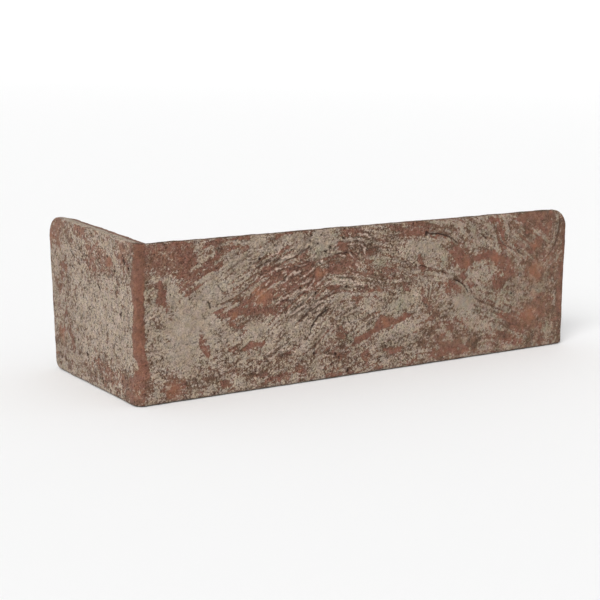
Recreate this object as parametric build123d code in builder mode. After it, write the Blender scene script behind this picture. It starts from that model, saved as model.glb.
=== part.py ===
# Corner brick tile: one fired-clay piece, L-shaped in plan. The long leg shows
# a brick's stretcher face and the short leg, the return, its header face. The
# tile is glued round the outside corner of a wall.
#
# Frame: millimetres, +Z up. The tile stands on its bottom bed. The stretcher
# face looks along -Y and the header face along -X; their common arris is the
# vertical edge at low X, low Y. Origin: middle of the footprint's bounding box,
# on the bottom bed.
import os

from build123d import *

# ---- driving dimensions (mm) -------------------------------------------------
height = 65.0              # brick course height, bottom bed to top arris
stretcher_length = 225.8   # outer face, arris to far end
return_length = 82.2       # outer face, arris to the top of its end
thickness = 12.0           # both legs
return_rise = 1.5          # the return is this much higher at its end than at the arris
top_fall = 2.4             # the top bed falls this much from the face to the back
top_flat = 2.4             # and starts to fall this far behind the face
return_end_slant = 6.3     # the return's end is this much longer at the top
stretcher_end_slant = 0.5  # the stretcher's end is this much shorter at the top
arris_radius = 4.0         # worn vertical arris between the two faces
return_top_radius = 9.0    # outline corners of the faces, seen square on
return_foot_radius = 3.8
stretcher_top_radius = 9.0
stretcher_foot_radius = 1.5
face_edge_radius = 1.2     # worn edge all round the two outer faces
inner_corner_radius = 0.8  # left by the saw where the two backs meet

x0 = -stretcher_length / 2  # header face
x1 = stretcher_length / 2   # stretcher's far end
y0 = -return_length / 2     # stretcher face
y1 = return_length / 2      # return's far end


def on_outer_faces(edge):
    """True for an edge that bounds the two faces and the arris between them."""
    centre = Vector(x0 + arris_radius, y0 + arris_radius, 0)
    for u in (0.0, 0.25, 0.5, 0.75, 1.0):
        p = edge @ u
        on_stretcher = abs(p.Y - y0) < 1e-3 and p.X > centre.X - 1e-3
        on_header = abs(p.X - x0) < 1e-3 and p.Y > centre.Y - 1e-3
        on_arris = abs((Vector(p.X, p.Y, 0) - centre).length - arris_radius) < 1e-3
        if not (on_stretcher or on_header or on_arris):
            return False
    # the two lines where the arris runs into the faces are no edges of the tile
    middle = edge @ 0.5
    return not (
        abs((edge @ 0).Z - (edge @ 1).Z) > height / 2
        and middle.X < x0 + arris_radius + 1
        and middle.Y < y0 + arris_radius + 1
    )


# ---- the tile -----------------------------------------------------------------
with BuildPart() as corner_tile:
    # long leg: the stretcher face's outline, as thick as the tile
    with BuildSketch(Plane.XZ.offset(-y0)) as stretcher_outline:
        with BuildLine():
            Polyline(
                (x0, 0),
                (x1, 0),
                (x1 - stretcher_end_slant, height),
                (x0, height),
                close=True,
            )
        make_face()
        far_end = stretcher_outline.vertices().sort_by(Axis.X)[-2:].sort_by(Axis.Y)
        fillet(far_end[-1], stretcher_top_radius)
        foot = stretcher_outline.vertices().group_by(Axis.Y)[0]
        fillet(foot.sort_by(Axis.X)[-1], stretcher_foot_radius)
    extrude(amount=-thickness)

    # short leg: the header face's outline, as thick as the tile
    with BuildSketch(Plane.YZ.offset(x0)) as header_outline:
        with BuildLine():
            Polyline(
                (y0, 0),
                (y1 - return_end_slant, 0),
                (y1, height + return_rise),
                (y0 + thickness, height),
                (y0, height),
                close=True,
            )
        make_face()
        fillet(header_outline.vertices().sort_by(Axis.X)[-1], return_top_radius)
        foot = header_outline.vertices().group_by(Axis.Y)[0]
        fillet(foot.sort_by(Axis.X)[-1], return_foot_radius)
    extrude(amount=thickness)

    # the two backs meet in the small radius of the saw cut
    inner_edge = (
        corner_tile.edges()
        .filter_by(Axis.Z)
        .sort_by_distance((x0 + thickness, y0 + thickness, height / 2))[0]
    )
    fillet(inner_edge, inner_corner_radius)

    # the worn arris between the two faces
    arris = corner_tile.edges().filter_by(Axis.Z).sort_by_distance((x0, y0, height / 2))[0]
    fillet(arris, arris_radius)

    # the worn edge that runs all round the two faces
    fillet([e for e in corner_tile.edges() if on_outer_faces(e)], face_edge_radius)

    # the top bed falls towards the backs, mitred at the corner
    with BuildSketch(Plane.YZ.offset(x0 - 1)):
        with BuildLine():
            Polyline(
                (y0 + top_flat, height),
                (y0 + thickness, height - top_fall),
                (y1 + 5, height - top_fall),
                (y1 + 5, height + 5),
                (y0 + top_flat, height + 5),
                close=True,
            )
        make_face()
    over_long_leg = extrude(amount=stretcher_length + 2, mode=Mode.PRIVATE)
    # the short leg's bed also rises with its top edge
    sections = []
    for y in (y0 - 1, y0 + thickness, y1 + 5):
        rise = return_rise * max(y - y0 - thickness, 0) / (return_length - thickness)
        with BuildSketch(Plane.XZ.offset(-y), mode=Mode.PRIVATE) as bed_profile:
            with BuildLine():
                Polyline(
                    (x0 + top_flat, height + rise),
                    (x0 + thickness, height - top_fall + rise),
                    (x0 + thickness + 3, height - top_fall - 3),
                    (x1 + 5, height - top_fall - 3),
                    (x1 + 5, height + 5),
                    (x0 + top_flat, height + 5),
                    close=True,
                )
            make_face()
        sections.append(bed_profile.sketch)
    over_short_leg = loft(sections=sections, ruled=True, mode=Mode.PRIVATE)
    add(over_long_leg.intersect(over_short_leg), mode=Mode.SUBTRACT)

box = corner_tile.part.bounding_box()
tile = Pos(-box.center().X, -box.center().Y, -box.min.Z) * corner_tile.part
tile.label = "corner_tile"

os.makedirs("parts", exist_ok=True)
export_step(tile, "parts/corner_tile.step")

size = tile.bounding_box()
print("size", [round(v, 3) for v in size.size], "min", [round(v, 3) for v in size.min])
print("shift", round(-box.center().X, 3), round(-box.center().Y, 3), round(-box.min.Z, 3))
print("volume mm3", round(tile.volume), "valid", tile.is_valid, "faces", len(tile.faces()))
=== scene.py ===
import math

import bpy
import numpy as np
from mathutils import Matrix, Vector


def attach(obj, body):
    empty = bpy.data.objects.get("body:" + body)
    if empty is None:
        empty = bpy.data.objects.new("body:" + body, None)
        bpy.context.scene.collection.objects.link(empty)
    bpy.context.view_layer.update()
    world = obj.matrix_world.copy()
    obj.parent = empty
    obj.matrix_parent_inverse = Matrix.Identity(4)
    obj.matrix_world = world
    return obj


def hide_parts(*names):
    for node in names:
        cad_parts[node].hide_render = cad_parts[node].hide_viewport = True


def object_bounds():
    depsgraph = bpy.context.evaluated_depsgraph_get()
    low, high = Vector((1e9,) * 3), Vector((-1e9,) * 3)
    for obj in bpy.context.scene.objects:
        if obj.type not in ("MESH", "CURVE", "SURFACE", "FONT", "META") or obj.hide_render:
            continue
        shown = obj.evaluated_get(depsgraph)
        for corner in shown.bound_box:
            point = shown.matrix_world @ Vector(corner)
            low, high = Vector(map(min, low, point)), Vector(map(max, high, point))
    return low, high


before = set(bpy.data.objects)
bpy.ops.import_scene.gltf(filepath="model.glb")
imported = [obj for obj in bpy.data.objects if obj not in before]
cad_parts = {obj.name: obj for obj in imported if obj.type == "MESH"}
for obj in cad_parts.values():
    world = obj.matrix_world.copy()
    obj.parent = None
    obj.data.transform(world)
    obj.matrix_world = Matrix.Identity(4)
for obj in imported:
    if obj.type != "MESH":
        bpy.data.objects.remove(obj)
cad_lo, cad_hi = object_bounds()
scene = bpy.context.scene

# ---- the tile's construction, as in the frame (mm) ---------------------------
HEIGHT, LONG, SHORT, THICK = 65.0, 225.8, 82.2, 12.0
TOP_FALL, TOP_FLAT, RISE = 2.4, 2.4, 1.5
END_LEAN, FAR_LEAN = 6.3, 0.5
ARRIS_R, EDGE_R, INNER_R = 4.0, 1.2, 0.8
ARC = ARRIS_R * math.pi / 4
FLAT = ARRIS_R - ARC  # unfolding the arris shortens each leg by this much
CORNER = np.array([cad_lo.x * 1000, cad_lo.y * 1000, cad_lo.z * 1000])

# ---- camera ------------------------------------------------------------------
VIEW = np.array([
    [0.83160665, -0.55511731, 0.01658742],
    [0.09603089, 0.17315071, 0.98020248],
    [0.54699949, 0.81355000, -0.19730169],
])  # right, up, forward
EYE = CORNER + np.array([-249.358, -483.390, 153.131])
cam_data = bpy.data.cameras.new("camera")
cam_data.sensor_width = 36.0
cam_data.lens = 86.366
cam_data.clip_start, cam_data.clip_end = 0.01, 20.0
cam = bpy.data.objects.new("camera", cam_data)
scene.collection.objects.link(cam)
place = Matrix.Identity(4)
for k in range(3):
    place[k][0], place[k][1], place[k][2] = VIEW[0][k], VIEW[1][k], -VIEW[2][k]
    place[k][3] = EYE[k] / 1000
cam.matrix_world = place
scene.camera = cam

# ---- a raster of the unfolded tile (mm): s runs round the arris, w runs up ----
# s < 0 is the return, s > 0 the stretcher. w is the height on the faces and goes
# on over the edges: above 65 lies the top bed and below 0 the bottom bed.
PITCH = 0.25
S_LO, S_HI, W_LO, W_HI = -102.0, 242.0, -18.0, 84.0
NS = int((S_HI - S_LO) / PITCH)
NW = int((W_HI - W_LO) / PITCH)
s_axis = S_LO + (np.arange(NS) + 0.5) * PITCH
w_axis = W_LO + (np.arange(NW) + 0.5) * PITCH
SS, WW = np.meshgrid(s_axis, w_axis)
rng = np.random.default_rng(41)


def band(size, width=0.55, stretch=1.0, angle=0.0):
    """Smooth noise of unit spread whose lumps are about size mm across, or stretch times that along an angle."""
    fs = np.fft.fftfreq(NS, PITCH)[None, :]
    fw = np.fft.fftfreq(NW, PITCH)[:, None]
    c, s = math.cos(math.radians(angle)), math.sin(math.radians(angle))
    along, across = (fs * c + fw * s) * stretch, -fs * s + fw * c
    f = np.hypot(along, across) * 2 * size + 1e-9
    gain = np.exp(-0.5 * (np.log(f) / width) ** 2)
    out = np.fft.ifft2(np.fft.fft2(rng.standard_normal((NW, NS))) * gain).real
    return out / out.std()


def blur(a, sigma):
    fs = np.fft.fftfreq(NS, PITCH)[None, :]
    fw = np.fft.fftfreq(NW, PITCH)[:, None]
    g = np.exp(-2 * (math.pi * sigma) ** 2 * (fs**2 + fw**2))
    return np.fft.ifft2(np.fft.fft2(a) * g).real


def look_up(a, s, w):
    """Bilinear reading of a raster at points (s, w)."""
    x = np.clip((s - S_LO) / PITCH - 0.5, 0, NS - 1.001)
    y = np.clip((w - W_LO) / PITCH - 0.5, 0, NW - 1.001)
    i, j = x.astype(int), y.astype(int)
    u, v = x - i, y - j
    return (
        a[j, i] * (1 - u) * (1 - v)
        + a[j, i + 1] * u * (1 - v)
        + a[j + 1, i] * (1 - u) * v
        + a[j + 1, i + 1] * u * v
    )


def ramp(x, a, b):
    t = np.clip((x - a) / (b - a), 0, 1)
    return t * t * (3 - 2 * t)


def unfold(x):
    """Unfolded s of a place x mm from the sharp corner, along either leg."""
    return x - FLAT if x >= ARRIS_R else x * ARC / ARRIS_R


# ---- where the wash lies and where the clay shows ----------------------------
# Places are (x, z) in mm: x > 0 is the stretcher and x < 0 the return, measured
# from the sharp corner; z is the height.
def at_s(x):
    return math.copysign(unfold(abs(x)), x)


# the direction (degrees) in which the streaks run, at places on the faces
RUNS = [
    (6, 58, 60), (12, 45, 85), (8, 34, 70), (20, 56, 50), (24, 47, 30), (20, 25, 0), (20, 14, -10),
    (34, 52, 28), (36, 60, 22), (45, 61, 12), (44, 50, 30), (36, 42, 10), (46, 33, 25), (57, 38, 35),
    (53, 57, 30), (60, 52, 25), (66, 57, 22), (75, 57, 12), (70, 49, 15), (64, 45, 22), (78, 48, 14),
    (82, 43, 36), (90, 46, 20), (62, 33, 38), (70, 35, 38), (76, 30, 40), (84, 35, 34), (90, 38, 25),
    (84, 27, 50), (66, 22, 35), (64, 15, 35), (57, 6, 25), (72, 5, 0), (90, 60, 0), (96, 43, -22),
    (100, 53, 5), (106, 59, -10), (112, 55, -18), (104, 47, -15), (113, 44, -10), (107, 16, 25),
    (113, 18, 28), (122, 21, 12), (131, 23, 18), (125, 9, 0), (124, 62, -6), (126, 50, -16),
    (124, 43, -8), (132, 56, -40), (140, 54, -10), (150, 62, -6), (147, 58, -6), (157, 55, -35),
    (161, 48, -50), (164, 43, 60), (157, 34, 30), (161, 36, -28), (166, 32, -55), (153, 40, -15),
    (141, 31, 85), (130, 30, 30), (148, 24, 20), (165, 26, -10), (160, 15, -25), (150, 6, -4),
    (172, 45, 5), (184, 44, -12), (175, 55, -25), (185, 56, -75), (188, 50, -35), (196, 46, -38),
    (184, 34, 60), (192, 38, -10), (200, 56, -36), (210, 54, -38), (196, 62, -12), (208, 62, -14),
    (205, 46, -40), (206, 36, -65), (215, 44, 30), (219, 54, 88), (218, 47, 55), (223, 30, 90),
    (176, 26, -20), (184, 22, -26), (192, 15, -28), (200, 12, -20), (190, 8, -22), (204, 16, -50),
    (212, 18, 70), (210, 26, 0), (216, 8, 80), (176, 12, 10), (200, 28, -8),
    (-10, 57, 20), (-20, 52, -10), (-30, 45, 10), (-42, 53, 70), (-50, 60, 20), (-70, 63, 25),
    (-66, 46, 60), (-70, 36, 10), (-58, 36, 0), (-60, 18, -62), (-40, 30, 20), (-25, 25, 30),
    (-25, 10, 5), (-45, 8, 10), (-70, 10, 20), (-8, 20, 70), (-30, 3, 0),
]
weight = np.full_like(SS, 1e-9)
turn_c, turn_s = np.zeros_like(SS), np.zeros_like(SS)
for x, z, deg in RUNS:
    k = 1 / ((SS - at_s(x)) ** 2 + (WW - z) ** 2 + 9.0) ** 2
    turn_c += k * math.cos(math.radians(2 * deg))
    turn_s += k * math.sin(math.radians(2 * deg))
run = 0.5 * np.arctan2(turn_s, turn_c)
run_c, run_s = np.cos(run), np.sin(run)


def streaks(size, length, step=0.4):
    """Smooth noise drawn out along the streaks' directions."""
    source = band(size, 0.5)
    total = source.copy()
    for way in (1, -1):
        s, w = SS.copy(), WW.copy()
        cc, sc = np.full_like(SS, way), np.zeros_like(SS)
        for _ in range(int(length / step)):
            i = np.clip(((s - S_LO) / PITCH).astype(int), 0, NS - 1)
            j = np.clip(((w - W_LO) / PITCH).astype(int), 0, NW - 1)
            c, d = run_c[j, i], run_s[j, i]
            if sc.any():
                flip = np.sign(c * cc + d * sc)
                c, d = c * flip, d * flip
            else:
                c, d = c * way, d * way
            cc, sc = c, d
            s, w = s + step * c, w + step * d
            total += look_up(source, s, w)
    return total / total.std()


n0, n1, n2, n3, n4 = band(0.6), band(1.0), band(2.0), band(4.0), band(9.0)
fine_run, long_run, vein_run = streaks(0.6, 3.2), streaks(1.5, 8.0, 0.5), streaks(2.1, 9.0, 0.5)
thread_run = streaks(1.3, 5.0, 0.5)
wave_s, wave_w = 0.55 * band(1.8), 0.55 * band(1.8)
vein_run, thread_run = (look_up(a, SS + wave_s, WW + wave_w) for a in (vein_run, thread_run))
warp_s = 0.45 * band(2.6) + 0.25 * band(1.0) + 0.5 * band(6.0)
warp_w = 0.45 * band(2.6) + 0.25 * band(1.0) + 0.4 * band(6.0)


def stroke(points, soft=0.0, warp=1.0, inside=None):
    """A raster, 0 to 1, of a line of blobs (x, z, radius); soft 1 fades out slowly.
    The raster inside, if given, is raised to how deep (mm) each place lies in the line."""
    out = np.zeros_like(SS)
    pts = [(at_s(x), z, r) for x, z, r in points]
    if len(pts) == 1:
        pts = pts * 2
    reach = max(p[2] for p in pts) * 2.2 + 3
    cols = np.searchsorted(s_axis, [min(p[0] for p in pts) - reach, max(p[0] for p in pts) + reach])
    rows = np.searchsorted(w_axis, [min(p[1] for p in pts) - reach, max(p[1] for p in pts) + reach])
    cut = (slice(*rows), slice(*cols))
    xs, ws = SS[cut] + warp * warp_s[cut], WW[cut] + warp * warp_w[cut]
    for (s0, w0, r0), (s1, w1, r1) in zip(pts, pts[1:]):
        ds, dw = s1 - s0, w1 - w0
        n = ds * ds + dw * dw
        t = np.clip(((xs - s0) * ds + (ws - w0) * dw) / n, 0, 1) if n else 0.0
        far = np.hypot(xs - s0 - t * ds, ws - w0 - t * dw)
        if inside is not None:
            inside[cut] = np.maximum(inside[cut], r0 + t * (r1 - r0) - far)
        near = 1 - ramp(far / (r0 + t * (r1 - r0)), 0.55 - 0.5 * soft, 1.35 + 0.6 * soft)
        out[cut] = np.maximum(out[cut], near)
    return out


def spot(x, z, rx, rz):
    return np.exp(-(((SS - at_s(x)) / rx) ** 2) - ((WW - z) / rz) ** 2)


# broad zones: x, z, half width, half height, how much more wash lies there
ZONES = [
    (14, 58, 13, 8, -1.25), (6, 46, 4, 6, -0.7), (24, 27, 15, 14, 1.0), (34, 44, 8, 7, 0.8),
    (50, 35, 13, 5, -1.5), (16, 6, 7, 6, -0.5), (35, 8, 12, 6, -0.35), (45, 54, 8, 6, 0.6),
    (54, 25, 7, 4, 0.7), (72, 46, 18, 7, -1.1), (82, 40, 12, 6, -0.3), (86, 59, 8, 7, 1.2), (64, 58, 8, 6, 0.6),
    (76, 22, 15, 7, 0.5), (95, 12, 8, 9, -0.75), (65, 8, 12, 7, -0.3), (104, 50, 9, 8, -0.8),
    (96, 43, 6, 3, 0.5), (103, 28, 8, 6, 0.3), (112, 60, 8, 5, -0.5), (132, 61, 12, 5, -1.0),
    (120, 42, 10, 6, -0.7), (140, 53, 10, 5, 0.9), (130, 28, 12, 6, 0.8), (146, 36, 9, 8, 0.15),
    (130, 15, 9, 5, 0.8), (148, 18, 10, 8, -0.5), (160, 7, 14, 7, -0.75), (164, 27, 6, 4, 1.1), (150, 28, 8, 6, -0.35),
    (162, 46, 7, 7, -0.9), (173, 56, 10, 7, 0.15), (174, 15, 9, 6, 0.6), (176, 38, 7, 5, 0.35),
    (205, 61, 14, 6, -1.3), (198, 50, 12, 8, -0.2), (186, 34, 7, 6, -1.0), (196, 27, 13, 4, 0.6),
    (212, 40, 10, 8, -0.7), (210, 19, 9, 8, -1.1), (196, 13, 9, 6, -0.9), (222.5, 30, 3.5, 34, -1.5),
    (190, 5, 14, 5, -0.5), (213, 7, 8, 6, -0.6),
    (-36, 30, 22, 14, 0.9), (-12, 30, 8, 12, 0.6), (-8, 58, 9, 8, -1.0), (-38, 54, 9, 8, -1.1),
    (-25, 8, 20, 7, -0.8), (-8, 8, 8, 8, -0.8), (-72, 58, 10, 8, -0.45), (-50, 64, 10, 3, -1.2), (-72, 63, 8, 3, -0.8), (-20, 65, 12, 2, -0.6),
    (-68, 20, 10, 14, -0.5), (-60, 6, 16, 6, -0.1), (-22, 52, 8, 6, -0.4), (-64, 38, 10, 8, -0.2),
]
# how rough and mottled the faces are at places, against 1
ROUGH = [
    (24, 27, 14, 13, -0.45), (34, 44, 7, 6, -0.3), (86, 59, 7, 6, 0.05), (127, 48, 8, 9, 0.5),
    (164, 27, 8, 6, -0.5), (180, 45, 10, 3, -0.5), (158, 7, 14, 6, -0.4), (205, 47, 6, 4, -0.4),
    (206, 36, 6, 5, -0.4), (140, 53, 8, 4, -0.3), (-36, 30, 22, 13, -0.1), (-66, 12, 16, 12, -0.3),
    (40, 10, 14, 8, 0.2), (65, 12, 14, 9, 0.2), (118, 58, 10, 6, 0.3), (-30, 54, 16, 8, 0.2),
    (200, 55, 10, 6, 0.1), (-20, 8, 14, 6, 0.3),
]
header = 1 - ramp(SS, -4, 1)
need = 0.30 + 0.46 * header - 0.10 * ramp(SS, 110, 150)
for x, z, rx, rz, k in ZONES:
    need += k * spot(x, z, rx, rz)
rough = 0.95 + 0.12 * header + 0.12 * ramp(SS, 110, 140)
for x, z, rx, rz, k in ROUGH:
    rough += k * spot(x, z, rx, rz)
rough = np.clip(rough, 0.25, 1.5)
along_run = 0.35 + 0.5 * spot(75, 47, 48, 20) + 0.3 * spot(205, 55, 22, 14) - 0.15 * header
# how grainy the skin is: less towards the far ends and where the wash is thick
grain = 1.05 - 0.5 * ramp(SS, 120, 165) - 0.3 * ramp(-SS, 50, 66)
for x, z, rx, rz, k in ROUGH:
    grain += 0.5 * k * spot(x, z, rx, rz)
grain = np.clip(grain, 0.15, 1.3)
need += rough * (
    (1 - along_run) * (0.6 * n1 + (0.5 + 0.12 * header) * n2 + (0.32 + 0.30 * header) * n3)
    + along_run * (0.6 * fine_run + 0.95 * long_run)
    + 0.2 * n4
) + 0.5 * grain * n0 * (1.15 - 0.7 * along_run)

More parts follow.
